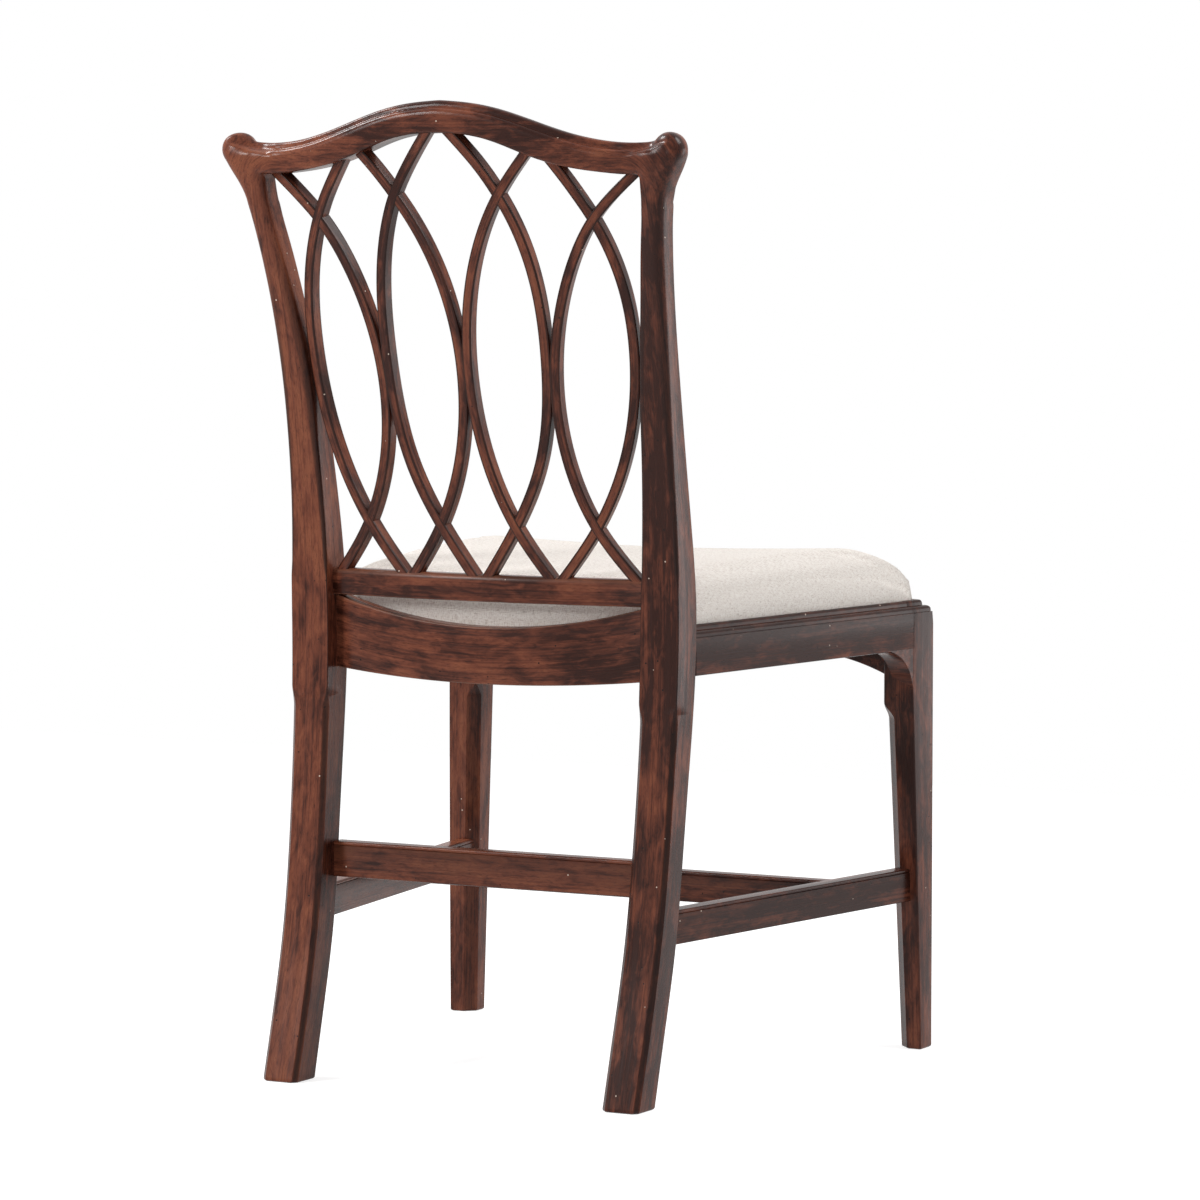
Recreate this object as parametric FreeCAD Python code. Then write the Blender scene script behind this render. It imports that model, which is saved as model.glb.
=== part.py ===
import FreeCAD
import Part
import math
import os

# Trellis back side chair, in millimetres. It faces -Y, and X = 0 is its plane of symmetry.
# Lengths in Y are measured from the back of the rear feet.
# export() moves the origin to the middle of the chair's footprint.

# Overall
FLOOR = 0.0
FRONT_Y = -525.0
REAR_Y = 19.8
MIDDLE_Y = (FRONT_Y + REAR_Y) / 2

# Cutting tools and blanks run past the chair by these lengths
PAST = 60.0
FAR = 400.0

# Seat rails
RAIL_BOTTOM = 420.0
RAIL_FACE_TOP = 458.0
BEAD_TOP = 464.0
LIP_TOP = 470.0
LEDGE = 450.0
BEAD_WIDTH = 7.0
LIP_INSET = 13.0
RAIL_THICKNESS = 27.0
FRONT_HALF = 284.0
REAR_HALF = 222.0
REAR_LEG_FRONT_Y = -113.0
FRONT_DIP = 13.0
DIP_RADIUS = 2310.0
DIP_SWEEP = 16.0

# Front legs
FRONT_LEG_WIDTH = 39.5
FRONT_LEG_DEPTH = 38.0
FRONT_FOOT = 27.5
FRONT_CHAMFER = 11.5
FRONT_CHAMFER_STOP = 355.0
LEG_EASE = 2.5
CHAMFER_EASE = 0.8

# Rear legs and posts: height, outer x, inner x, back y, front y, corner radius
REAR_CHAMFER = 5.0
REAR_CHAMFER_STOP = 388.0
LOWER_STATIONS = [
    (0.0, 215.5, 174.5, 0.0, -38.5),
    (60.0, 216.2, 174.6, -17.8, -54.5),
    (150.0, 217.0, 175.8, -41.3, -78.3),
    (250.0, 218.4, 177.2, -57.5, -93.0),
    (330.0, 219.6, 178.3, -66.2, -103.0),
    (REAR_CHAMFER_STOP, 220.8, 178.7, -71.2, -109.3),
]
UPPER_STATIONS = [
    (REAR_CHAMFER_STOP, 220.8, 178.7, -71.2, -109.3, 2.0),
    (450.0, 221.8, 179.0, -73.5, -113.0, 2.0),
    (510.0, 221.9, 180.2, -72.8, -111.0, 2.5),
    (570.0, 220.6, 182.0, -69.8, -104.5, 4.0),
    (640.0, 219.8, 184.8, -61.8, -93.8, 6.5),
    (710.0, 221.0, 188.0, -51.0, -80.0, 8.5),
    (780.0, 224.8, 194.6, -35.8, -63.5, 9.5),
    (850.0, 231.0, 203.6, -17.6, -46.5, 10.0),
    (920.0, 240.5, 210.5, -1.0, -31.5, 10.0),
]
POST_TENON = 16.0
POST_TENON_LENGTH = 14.0

# The back is bowed in plan about a vertical axis, and its middle follows an arc in side view.
BOW_RADIUS = 1000.0
BOW_SWEEP = 40.0
BACK_LOW = (-71.0, 505.0)
BACK_MID = (-41.0, 713.0)
BACK_HIGH = (19.0, 960.0)
BAR_WIDTH = 10.4
BAR_DEPTH = 13.0

# Trellis bars of one half: x and height along each centre line, from crest to shoe
OUTER_OVAL_LEFT = [(112.5, 933), (156.4, 868), (178.5, 805), (183.4, 735), (167, 640), (131, 564), (86, 506)]
OUTER_OVAL_RIGHT = [(206, 914), (156.4, 868), (127, 820), (98.4, 705), (106.2, 625), (131, 564), (175.7, 506)]
INNER_OVAL_LEFT = [(7, 958), (59, 891), (84.8, 820), (90.6, 730), (74, 625), (43, 563), (3.3, 506)]
INNER_OVAL_RIGHT = [(100, 938), (59, 891), (21.4, 820), (4.1, 715), (16.6, 625), (43, 563), (83.8, 506)]
MIDDLE_CONTACT = 94.5
CREST_MEETING = 106.2
SHOE_MEETING = 85.2
CREST_MEETING_Z = 895.0
SHOE_MEETING_Z = 542.0

# Shoe and rear seat rail
SHOE_BOTTOM = 488.0
SHOE_TOP = 515.0
SHOE_DEPTH = 20.0
SHOE_BACK_Y = -69.0
SHOE_EASE = 2.0
SHOE_ROUND = 5.0
SHOE_HALF = 179.6
EDGE_EASE = 1.5
REAR_RAIL_BACK_Y = -75.0
REAR_RAIL_DEPTH = 21.0
REAR_RAIL_TOP_MID = 462.0
REAR_RAIL_TOP_END = 487.6
REAR_RAIL_BOTTOM_MID = 405.0
REAR_RAIL_BOTTOM_END = 414.0
POST_INNER = 179.0

# Crest rail: x, underside, top
CREST_STATIONS = [
    (0.0, 952.5, 984.5),
    (30.0, 950.8, 982.2),
    (60.0, 944.5, 977.0),
    (100.0, 930.0, 965.0),
    (140.0, 919.3, 952.3),
    (180.0, 913.8, 944.5),
    (210.0, 912.5, 943.3),
    (238.0, 916.0, 946.0),
]
CREST_DEPTH = 30.0
CREST_BACK_Y = 20.0
CREST_LEAN = 0.2
CREST_BEAD = 7.0
CREST_EASE = 3.0
CREST_SHOULDER_SHARE = 0.62
CREASE_DEPTH = 8.0
ROLL_DEPTH = 17.0
EAR_X = 243.0
EAR_Y = -13.0
EAR_Z = 934.5
EAR_RADIUS = 18.0

# Stretchers
STRETCHER_DEPTH = 19.0
REAR_STRETCHER_Z = (201.0, 237.0)
REAR_STRETCHER_BACK_Y = -80.3
SIDE_STRETCHER_Z = (156.0, 190.0)
SIDE_STRETCHER_INSET = 6.0
MEDIAL_BACK_Y = -370.0
MEDIAL_DEPTH = 18.0
STRETCHER_ROUND = 3.0

# Joinery
TENON_DEPTH = 15.0
TENON_THICKNESS = 9.0
TENON_SHOULDER = 6.0
TENON_ROOT = 2.0
SIDE_TENON_FRONT = 25.0
FRONT_TENON_INSET = 18.0
MEDIAL_TENON_SHOULDER = 7.0
BRACKET_INSET = 2.6
SIDE_BRACKET = 49.0
SIDE_BRACKET_MIDDLE = (0.29, 0.29)
FRONT_BRACKET = 110.0
FRONT_BRACKET_DROP = 31.0
FRONT_BRACKET_MIDDLE = (0.3, 0.49)
BRACKET_THICKNESS = 24.0
BLOCK_LEG = 62.0
BLOCK_HEIGHT = 22.0
BLOCK_TOP = 447.0
REAR_BLOCK_Y = REAR_LEG_FRONT_Y + 6
BLOCK_SCREW_SHARE = 0.3
SCREW_RADIUS = 2.2
SCREW_BITE = 14.0
SCREW_HEAD = 4.2
SCREW_HEAD_HEIGHT = 2.6
SCREW_SINK = 5.0

# Drop-in seat
SEAT_GAP = 0.6
COVER_THICKNESS = 1.4
FRAME_WIDTH = 46.0
FRAME_BOTTOM = 451.2
FRAME_TOP = 468.0
SEAT_REAR_Y = -97.5
POST_CLEARANCE_X = 8.0
POST_CLEARANCE_Y = 3.0
STRAP_COUNT = 3
STRAP_LAP = 22.0
STRAP_WIDTH = 50.0
STRAP_THICKNESS = 1.5
CLOTH_THICKNESS = 0.8
PAD_SIDE_TOP = 521.0
PAD_MIDDLE_DROP = 12.0
PAD_SHOULDER = 34.0
PAD_DRAW_IN = 3.0
PAD_SIDE_EASE = 1.5
SKIRT_STEP = 0.4
SKIRT_END = 3.0
TONGUE_WIDTH = 20.0
CLOTH_INSET = 4.0
# Height of the pad as a share of its full height, by distance back from its front edge
PAD_STATIONS = [
    (0.0, 0.30),
    (6.0, 0.58),
    (14.0, 0.75),
    (26.0, 0.89),
    (42.0, 0.97),
    (65.0, 1.0),
    (110.0, 1.01),
    (180.0, 1.0),
    (250.0, 0.97),
    (320.0, 0.92),
    (380.0, 0.85),
    (425.0, 0.78),
]

Vec = FreeCAD.Vector
UP = Vec(0, 0, 1)


def box(x0, x1, y0, y1, z0, z1):
    return Part.makeBox(x1 - x0, y1 - y0, z1 - z0, Vec(x0, y0, z0))


def rounded_wire(points, radii):
    """Closed wire through points, with each corner rounded by its own radius."""
    edges = []
    count = len(points)
    arcs = []
    for k in range(count):
        before = points[k - 1]
        corner = points[k]
        after = points[(k + 1) % count]
        to_before = (before - corner).normalize()
        to_after = (after - corner).normalize()
        half = to_before.getAngle(to_after) / 2
        reach = radii[k] / math.tan(half)
        middle = corner + (to_before + to_after).normalize() * (radii[k] / math.sin(half) - radii[k])
        arcs.append((corner + to_before * reach, middle, corner + to_after * reach))
    for k in range(count):
        first, middle, last = arcs[k]
        edges.append(Part.Arc(first, middle, last).toShape())
        edges.append(Part.LineSegment(last, arcs[(k + 1) % count][0]).toShape())
    return Part.Wire(edges)


def polygon_wire(points):
    return Part.makePolygon(points + [points[0]])


def prism(points, direction):
    return Part.Face(polygon_wire(points)).extrude(direction)


def spline(points):
    curve = Part.BSplineCurve()
    curve.interpolate(points)
    return curve


def mirrored(shape):
    return shape.mirror(Vec(0, 0, 0), Vec(1, 0, 0))


def largest(shape):
    return max(shape.Solids, key=lambda solid: solid.Volume)


def export(node, shape):
    placed = shape.copy()
    placed.translate(Vec(0, -MIDDLE_Y, 0))
    placed.exportStep("parts/" + node + ".step")


# The seat's plan: distance inwards from the outer face of a side rail
SIDE_RUN = Vec(REAR_HALF - FRONT_HALF, REAR_LEG_FRONT_Y - FRONT_Y, 0).normalize()
SIDE_INWARD = Vec(-SIDE_RUN.y, SIDE_RUN.x, 0)
SIDE_START = Vec(FRONT_HALF, FRONT_Y, 0)
SIDE_LENGTH = (REAR_LEG_FRONT_Y - FRONT_Y) / SIDE_RUN.y


def side_point(inset, along, height):
    return SIDE_START + SIDE_INWARD * inset + SIDE_RUN * along + UP * height


def side_x(inset, y):
    """X of the line that lies inset from the left side rail's outer face."""
    start = SIDE_START + SIDE_INWARD * inset
    return start.x + SIDE_RUN.x / SIDE_RUN.y * (y - start.y)


def rail_profile(place, reach):
    """Section of a seat rail with its moulded upper edge, filled inwards as far as reach.

    place(inset, height) gives a point of the section.
    """
    bead_mid = BEAD_WIDTH * 0.25
    lip_start = BEAD_WIDTH + 0.6
    lip_mid = (BEAD_WIDTH + LIP_INSET) / 2
    points = [
        place(0, RAIL_BOTTOM),
        place(0, RAIL_FACE_TOP),
        place(1.0, RAIL_FACE_TOP + 0.8),
    ]
    bead_end = place(BEAD_WIDTH - 1.0, BEAD_TOP)
    lip_first = place(lip_start, BEAD_TOP + 0.6)
    lip_last = place(LIP_INSET, LIP_TOP - 1.5)
    edges = [
        Part.LineSegment(points[0], points[1]),
        Part.LineSegment(points[1], points[2]),
        Part.Arc(points[2], place(bead_mid, BEAD_TOP - 1.2), bead_end),
        Part.LineSegment(bead_end, lip_first),
        Part.Arc(lip_first, place(lip_mid, LIP_TOP), lip_last),
        Part.LineSegment(lip_last, place(reach, LIP_TOP - 1.5)),
        Part.LineSegment(place(reach, LIP_TOP - 1.5), place(reach, RAIL_BOTTOM)),
        Part.LineSegment(place(reach, RAIL_BOTTOM), points[0]),
    ]
    return Part.Face(Part.Wire([edge.toShape() for edge in edges]))


def side_moulding(reach):
    face = rail_profile(lambda inset, height: side_point(inset, -PAST, height), reach)
    return face.extrude(SIDE_RUN * (SIDE_LENGTH + 2 * PAST))


def front_moulding(reach):
    face = rail_profile(lambda inset, height: Vec(-FRONT_HALF - PAST, FRONT_Y + inset, height), reach)
    return face.extrude(Vec(2 * (FRONT_HALF + PAST), 0, 0))


def seat_pocket(inset, rear_y, bottom, top):
    """Prism of the seat's plan, inset from the outer faces of the rails."""
    front_y = FRONT_Y + inset
    points = [
        Vec(-side_x(inset, front_y), front_y, bottom),
        Vec(side_x(inset, front_y), front_y, bottom),
        Vec(side_x(inset, rear_y), rear_y, bottom),
        Vec(-side_x(inset, rear_y), rear_y, bottom),
    ]
    return prism(points, UP * (top - bottom))


POCKET = seat_pocket(LIP_INSET, REAR_LEG_FRONT_Y + PAST, LEDGE, LIP_TOP + PAST)


def rear_leg():
    """Left rear leg: a chamfered swept leg below, a rounded post above."""
    lower = []
    for z, outer, inner, back, front in LOWER_STATIONS:
        cut = REAR_CHAMFER
        points = [
            Vec(inner, front, z),
            Vec(outer, front, z),
            Vec(outer, back - cut, z),
            Vec(outer - cut, back, z),
            Vec(inner + cut, back, z),
            Vec(inner, back - cut, z),
        ]
        lower.append(polygon_wire(points))
    upper = []
    for z, outer, inner, back, front, radius in UPPER_STATIONS:
        points = [Vec(inner, front, z), Vec(outer, front, z), Vec(outer, back, z), Vec(inner, back, z)]
        upper.append(rounded_wire(points, [radius * 0.6, radius * 0.6, radius, radius]))
    return Part.makeLoft(lower, True).fuse(Part.makeLoft(upper, True))


def post_tenon():
    z, outer, inner, back, front, radius = UPPER_STATIONS[-1]
    x = (outer + inner) / 2
    y = (back + front) / 2
    half = POST_TENON / 2
    return box(x - half, x + half, y - half, y + half, z - 1, z + POST_TENON_LENGTH)


def front_leg():
    """Left front leg: moulded block turned to the side rail, tapered below to a square foot."""
    sections = []
    turn = FRONT_HALF - side_x(0, FRONT_Y + FRONT_LEG_DEPTH)
    foot = (FLOOR, FRONT_FOOT, FRONT_FOOT, 0)
    shoulder = (FRONT_CHAMFER_STOP, FRONT_LEG_WIDTH, FRONT_LEG_DEPTH, turn)
    for z, width, depth, outer_turn in (foot, shoulder):
        inner = FRONT_HALF - width
        back = FRONT_Y + depth
        points = [
            Vec(inner, FRONT_Y, z),
            Vec(FRONT_HALF, FRONT_Y, z),
            Vec(FRONT_HALF - outer_turn, back, z),
            Vec(inner + FRONT_CHAMFER, back, z),
            Vec(inner, back - FRONT_CHAMFER, z),
        ]
        sections.append(rounded_wire(points, [LEG_EASE] * 3 + [CHAMFER_EASE] * 2))
    lower = Part.makeLoft(sections, True, True)
    inner = FRONT_HALF - FRONT_LEG_WIDTH
    back = FRONT_Y + FRONT_LEG_DEPTH
    corners = [(inner, FRONT_Y), (FRONT_HALF, FRONT_Y), (FRONT_HALF - turn, back), (inner, back)]
    block_wire = rounded_wire([Vec(x, y, FRONT_CHAMFER_STOP) for x, y in corners], [LEG_EASE] * 4)
    block = Part.Face(block_wire).extrude(UP * (RAIL_BOTTOM + 5 - FRONT_CHAMFER_STOP))
    head_wire = rounded_wire([Vec(x, y, RAIL_BOTTOM) for x, y in corners], [LEG_EASE] * 4)
    head = Part.Face(head_wire).extrude(UP * (LIP_TOP + 5 - RAIL_BOTTOM))
    head = head.common(side_moulding(2 * PAST)).common(front_moulding(2 * PAST)).cut(POCKET)
    return lower.fuse(block).fuse(head).removeSplitter()


def side_rail(front, rear):
    rail = side_moulding(RAIL_THICKNESS).cut(POCKET)
    ahead = box(0, FAR, FRONT_Y - FAR, FRONT_Y + 1, FLOOR, FAR + RAIL_BOTTOM)
    return largest(rail.cut(front).cut(rear).cut(ahead))


def side_tenons(leg_end, rear_end):
    """Tenons of the left side rail at the front leg and at the rear leg."""
    middle = RAIL_THICKNESS / 2
    half = TENON_THICKNESS / 2
    low = RAIL_BOTTOM + TENON_SHOULDER
    height = LEDGE - TENON_SHOULDER - low
    tenons = []
    for start, end in (leg_end, rear_end):
        points = [
            side_point(middle - half, start, low),
            side_point(middle + half, start, low),
            side_point(middle + half, end, low),
            side_point(middle - half, end, low),
        ]
        tenons.append(prism(points, UP * height))
    return tenons


def dished(half, y0, y1, bottom_end, bottom_mid, top_end, top_mid):
    """Board across the chair whose lower and upper edges are arcs."""
    edges = [
        Part.Arc(Vec(-half, y0, bottom_end), Vec(0, y0, bottom_mid), Vec(half, y0, bottom_end)),
        Part.LineSegment(Vec(half, y0, bottom_end), Vec(half, y0, top_end)),
        Part.Arc(Vec(half, y0, top_end), Vec(0, y0, top_mid), Vec(-half, y0, top_end)),
        Part.LineSegment(Vec(-half, y0, top_end), Vec(-half, y0, bottom_end)),
    ]
    face = Part.Face(Part.Wire([edge.toShape() for edge in edges]))
    return face.extrude(Vec(0, y1 - y0, 0))


def dip_ring(section):
    """Turns a face in the plane X = 0 about the axis along Y that gives the front rail its dip."""
    axis = Vec(0, 0, LEDGE - FRONT_DIP + DIP_RADIUS)
    section.rotate(axis, Vec(0, 1, 0), DIP_SWEEP / 2)
    return section.revolve(axis, Vec(0, 1, 0), -DIP_SWEEP)


def front_rail():
    """Front seat rail: moulded and rebated as the side rails, dipping towards the middle."""
    half = FRONT_HALF - FRONT_LEG_WIDTH

    def place(inset, height):
        return Vec(0, FRONT_Y + inset, height - FRONT_DIP)

    rail = dip_ring(rail_profile(place, RAIL_THICKNESS))
    rebate = Part.Face(polygon_wire([
        place(LIP_INSET, LEDGE),
        place(RAIL_THICKNESS + PAST, LEDGE),
        place(RAIL_THICKNESS + PAST, LIP_TOP + PAST),
        place(LIP_INSET, LIP_TOP + PAST),
    ]))
    span = box(-half, half, FRONT_Y - PAST, FRONT_Y + PAST, FLOOR, LIP_TOP + PAST)
    return largest(rail.cut(dip_ring(rebate)).common(span))


def cross_tenon(end, reach, y, z0, z1):
    """Tenon along X on the left end of a cross member."""
    half = TENON_THICKNESS / 2
    return box(end - TENON_ROOT, end + reach, y - half, y + half, z0, z1)


def bow_ring(section):
    """Turns a closed section in the plane X = 0 about the bow's vertical axis."""
    ring = Part.Face(section)
    axis = Vec(0, BACK_LOW[0] - BOW_RADIUS, 0)
    ring.rotate(axis, UP, -BOW_SWEEP / 2)
    return ring.revolve(axis, UP, BOW_SWEEP)


def shoe_rail():
    points = [
        Vec(0, SHOE_BACK_Y - SHOE_DEPTH, SHOE_BOTTOM),
        Vec(0, SHOE_BACK_Y, SHOE_BOTTOM),
        Vec(0, SHOE_BACK_Y, SHOE_TOP),
        Vec(0, SHOE_BACK_Y - SHOE_DEPTH, SHOE_TOP),
    ]
    return bow_ring(rounded_wire(points, [SHOE_EASE] * 2 + [SHOE_ROUND] * 2))


def rear_rail():
    back = REAR_RAIL_BACK_Y
    points = [
        Vec(0, back - REAR_RAIL_DEPTH, REAR_RAIL_BOTTOM_MID - PAST),
        Vec(0, back, REAR_RAIL_BOTTOM_MID - PAST),
        Vec(0, back, REAR_RAIL_TOP_END + PAST),
        Vec(0, back - REAR_RAIL_DEPTH, REAR_RAIL_TOP_END + PAST),
    ]
    ring = bow_ring(polygon_wire(points))
    face = dished(POST_INNER + TENON_ROOT, back - 2 * PAST, back + PAST, REAR_RAIL_BOTTOM_END,
                  REAR_RAIL_BOTTOM_MID, REAR_RAIL_TOP_END, REAR_RAIL_TOP_MID)
    return ring.common(face)


def back_slab(depth0, depth1):
    """Layer of the bowed, leaning back between two depths from its rear surface."""
    def arc(depth):
        ends = [Vec(0, y - depth, z) for y, z in (BACK_LOW, BACK_MID, BACK_HIGH)]
        return ends, Part.Arc(*ends)
    rear_ends, rear = arc(depth0)
    front_ends, front = arc(depth1)
    edges = [
        rear.toShape(),
        Part.LineSegment(rear_ends[2], front_ends[2]).toShape(),
        front.toShape(),
        Part.LineSegment(front_ends[0], rear_ends[0]).toShape(),
    ]
    return bow_ring(Part.Wire(Part.__sortEdges__(edges)))


def bar_prism(points):
    """Prism along Y of one bar's outline, its centre line run on straight at both ends."""
    centre = [Vec(x, 0, z) for x, z in points]
    curve = spline(centre)
    left = []
    right = []
    for point in centre:
        along = curve.tangent(curve.parameter(point))[0]
        side = Vec(-along.z, 0, along.x) * (BAR_WIDTH / 2)
        left.append(point + side)
        right.append(point - side)
    edges = [
        spline(left).toShape(),
        Part.LineSegment(left[-1], right[-1]).toShape(),
        spline(right).toShape(),
        Part.LineSegment(right[0], left[0]).toShape(),
    ]
    face = Part.Face(Part.Wire(Part.__sortEdges__(edges)))
    face.translate(Vec(0, -FAR / 2, 0))
    return face.extrude(Vec(0, FAR, 0))


def trellis(post):
    """The four bars of the left half, from the outside in."""
    whole = back_slab(0, BAR_DEPTH)
    front_half = back_slab(BAR_DEPTH / 2, BAR_DEPTH)
    back_half = back_slab(0, BAR_DEPTH / 2)

    def sides(x, z0, z1):
        """Everything outside and inside a vertical plane, between two heights."""
        return box(x, FAR, -FAR, FAR, z0, z1), box(-FAR, x, -FAR, FAR, z0, z1)

    outer_side, inner_side = sides(MIDDLE_CONTACT, SHOE_MEETING_Z, CREST_MEETING_Z)
    outer_high, inner_high = sides(CREST_MEETING, CREST_MEETING_Z, CREST_MEETING_Z + FAR)
    outer_low, inner_low = sides(SHOE_MEETING, SHOE_MEETING_Z - FAR, SHOE_MEETING_Z)
    across = sides(0, FLOOR, CREST_MEETING_Z + FAR)[1]
    bars = []
    for left_line, right_line in ((OUTER_OVAL_LEFT, OUTER_OVAL_RIGHT), (INNER_OVAL_LEFT, INNER_OVAL_RIGHT)):
        left_prism = bar_prism(left_line)
        right_prism = bar_prism(right_line)
        lap = left_prism.common(right_prism)
        left = left_prism.common(whole).cut(lap.common(front_half))
        right = right_prism.common(whole).cut(lap.common(back_half))
        bars += [left, right]
    bars[0] = bars[0].cut(post).cut(inner_high).cut(inner_low)
    bars[1] = bars[1].cut(post).cut(inner_side)
    bars[2] = bars[2].cut(across).cut(outer_side)
    bars[3] = bars[3].cut(across).cut(outer_high).cut(outer_low)
    return [largest(bar) for bar in bars]


def crest_section(x, bottom, top):
    """Crest section at x: flat back, rounded shoulder, crease and a rolled upper edge."""
    bow = BOW_RADIUS - math.sqrt(BOW_RADIUS ** 2 - x ** 2)
    shoulder = bottom + (top - bottom) * CREST_SHOULDER_SHARE
    crease = top - CREST_BEAD
    ease = CREST_EASE
    corner = CREST_EASE * 0.3
    front = CREST_DEPTH

    def at(depth, z):
        return Vec(x, CREST_BACK_Y - bow - depth + CREST_LEAN * (z - shoulder), z)

    edges = [
        Part.LineSegment(at(front - ease, bottom), at(ease, bottom)),
        Part.Arc(at(ease, bottom), at(corner, bottom + corner), at(0, bottom + ease)),
        Part.LineSegment(at(0, bottom + ease), at(0, shoulder - 1)),
        Part.Arc(at(0, shoulder - 1), at(CREASE_DEPTH * 0.28, crease - 2), at(CREASE_DEPTH, crease)),
        Part.Arc(at(CREASE_DEPTH, crease), at(CREASE_DEPTH + 2.5, top - 1.5), at(ROLL_DEPTH, top)),
        Part.Arc(at(ROLL_DEPTH, top), at(front - 4, top - ease), at(front, crease - ease)),
        Part.LineSegment(at(front, crease - ease), at(front, bottom + ease)),
        Part.Arc(at(front, bottom + ease), at(front - corner, bottom + corner), at(front - ease, bottom)),
    ]
    return Part.Wire([edge.toShape() for edge in edges])


def crest_rail():
    stations = [(-x, bottom, top) for x, bottom, top in reversed(CREST_STATIONS[1:])] + CREST_STATIONS
    body = Part.makeLoft([crest_section(*station) for station in stations], True)
    knob = Part.makeSphere(EAR_RADIUS, Vec(EAR_X, EAR_Y, EAR_Z))
    return body.fuse(knob).fuse(mirrored(knob))


def cross_stretcher(back, depth, low, high, half):
    """Stretcher across the chair, rounded along its upper edges."""
    points = [
        Vec(-half, back - depth, low),
        Vec(-half, back, low),
        Vec(-half, back, high),
        Vec(-half, back - depth, high),
    ]
    section = Part.Face(rounded_wire(points, [EDGE_EASE] * 2 + [STRETCHER_ROUND] * 2))
    return section.extrude(Vec(2 * half, 0, 0))


def side_stretcher():
    low, high = SIDE_STRETCHER_Z
    inset = SIDE_STRETCHER_INSET
    points = [
        side_point(inset, 0, low),
        side_point(inset, 0, high),
        side_point(inset + STRETCHER_DEPTH, 0, high),
        side_point(inset + STRETCHER_DEPTH, 0, low),
    ]
    section = Part.Face(rounded_wire(points, [EDGE_EASE, STRETCHER_ROUND, STRETCHER_ROUND, EDGE_EASE]))
    return section.extrude(SIDE_RUN * (SIDE_LENGTH + PAST))


def bracket(corner, along, across, size, drop, shares):
    """Curved bracket under a rail: a corner block hollowed by an arc, thickened along across.

    shares places the arc's middle point, as parts of the size and of the drop.
    """
    far = corner + along * size
    foot = corner - UP * drop
    middle = corner + along * (size * shares[0]) - UP * (drop * shares[1])
    edges = [
        Part.LineSegment(corner, far).toShape(),
        Part.Arc(far, middle, foot).toShape(),
        Part.LineSegment(foot, corner).toShape(),
    ]
    return Part.Face(Part.Wire(edges)).extrude(across * BRACKET_THICKNESS)


def corner_block(corner, first, second):
    """Triangular glue block in the angle between two rails, with its lower face flat."""
    points = [corner, corner + first * BLOCK_LEG, corner + second * BLOCK_LEG]
    return prism([point + UP * (BLOCK_TOP - BLOCK_HEIGHT) for point in points], UP * BLOCK_HEIGHT)


def block_screws(corner, first, second):
    """Two screws through a glue block, one square into each rail, and the counterbores for their heads."""
    screws = []
    bores = []
    for along, other in ((first, second), (second, first)):
        inward = (other - along * other.dot(along)).normalize()
        reach = BLOCK_LEG * BLOCK_SCREW_SHARE
        depth = reach * other.dot(inward) - SCREW_SINK
        foot = corner + along * (BLOCK_LEG - reach) + other * reach
        head = foot - inward * SCREW_SINK + UP * (BLOCK_TOP - BLOCK_HEIGHT / 2)
        shank = Part.makeCylinder(SCREW_RADIUS, depth + SCREW_BITE, head, inward * -1)
        cap = Part.makeCylinder(SCREW_HEAD, SCREW_HEAD_HEIGHT, head, inward)
        screws.append(cap.fuse(shank).removeSplitter())
        bores.append(Part.makeCylinder(SCREW_HEAD, SCREW_SINK * 4, head, inward))
    return screws, bores


def drilled(shape, screws, bores):
    for tool in screws + bores:
        shape = shape.cut(tool)
    return shape


def seat_section(y, half, bottom, side_top, drop, shoulder):
    """Seat pad section: drawn-in sides, round shoulders and a dished top."""
    rise = side_top - bottom

    def at(side, x, share):
        return Vec(side * x, y, bottom + rise * share)

    def flank(side):
        """Tuck, widest point, upper side, shoulder and edge of the top on one side."""
        tuck = at(side, half - PAD_DRAW_IN, 0)
        widest = at(side, half, 0.26)
        upper = at(side, half - PAD_SIDE_EASE, 0.42)
        round_over = at(side, half - shoulder * 0.33, 0.83)
        return tuck, widest, upper, round_over, at(side, half - shoulder, 1)

    left = flank(1)
    right = flank(-1)
    edges = [
        Part.LineSegment(right[0], left[0]),
        Part.Arc(left[0], left[1], left[2]),
        Part.Arc(left[2], left[3], left[4]),
        Part.Arc(left[4], Vec(0, y, side_top - drop), right[4]),
        Part.Arc(right[4], right[3], right[2]),
        Part.Arc(right[2], right[1], right[0]),
    ]
    return Part.Wire([edge.toShape() for edge in edges])


def seat_form(inset, skin):
    """Crowned seat pad inset from the rails; skin is its depth below the outside of the cover."""
    front = FRONT_Y + inset + skin
    bottom = FRAME_TOP
    wires = []
    for along, share in PAD_STATIONS:
        y = front + along
        half = side_x(inset + skin, y)
        rise = (PAD_SIDE_TOP - skin - bottom) * share
        wires.append(seat_section(y, half, bottom, bottom + rise, PAD_MIDDLE_DROP * share, PAD_SHOULDER))
    return Part.makeLoft(wires, True, True)


def seat_rear_cut(skin):
    """Everything behind the seat's rear edge, which follows the bow and clears the posts."""
    axis = Vec(0, BACK_LOW[0] - BOW_RADIUS, 0)
    radius = SEAT_REAR_Y - skin - axis.y
    low = FRAME_BOTTOM - PAST
    disc = Part.makeCylinder(radius, FAR, Vec(0, axis.y, low))
    behind = box(-FAR, FAR, REAR_LEG_FRONT_Y - 2 * PAST, FAR, low, low + FAR).cut(disc)
    posts = box(POST_INNER - POST_CLEARANCE_X - skin, FAR, REAR_LEG_FRONT_Y - POST_CLEARANCE_Y - skin, FAR,
                low, low + FAR)
    return behind.fuse(posts).fuse(mirrored(posts))


os.makedirs("parts", exist_ok=True)

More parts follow.
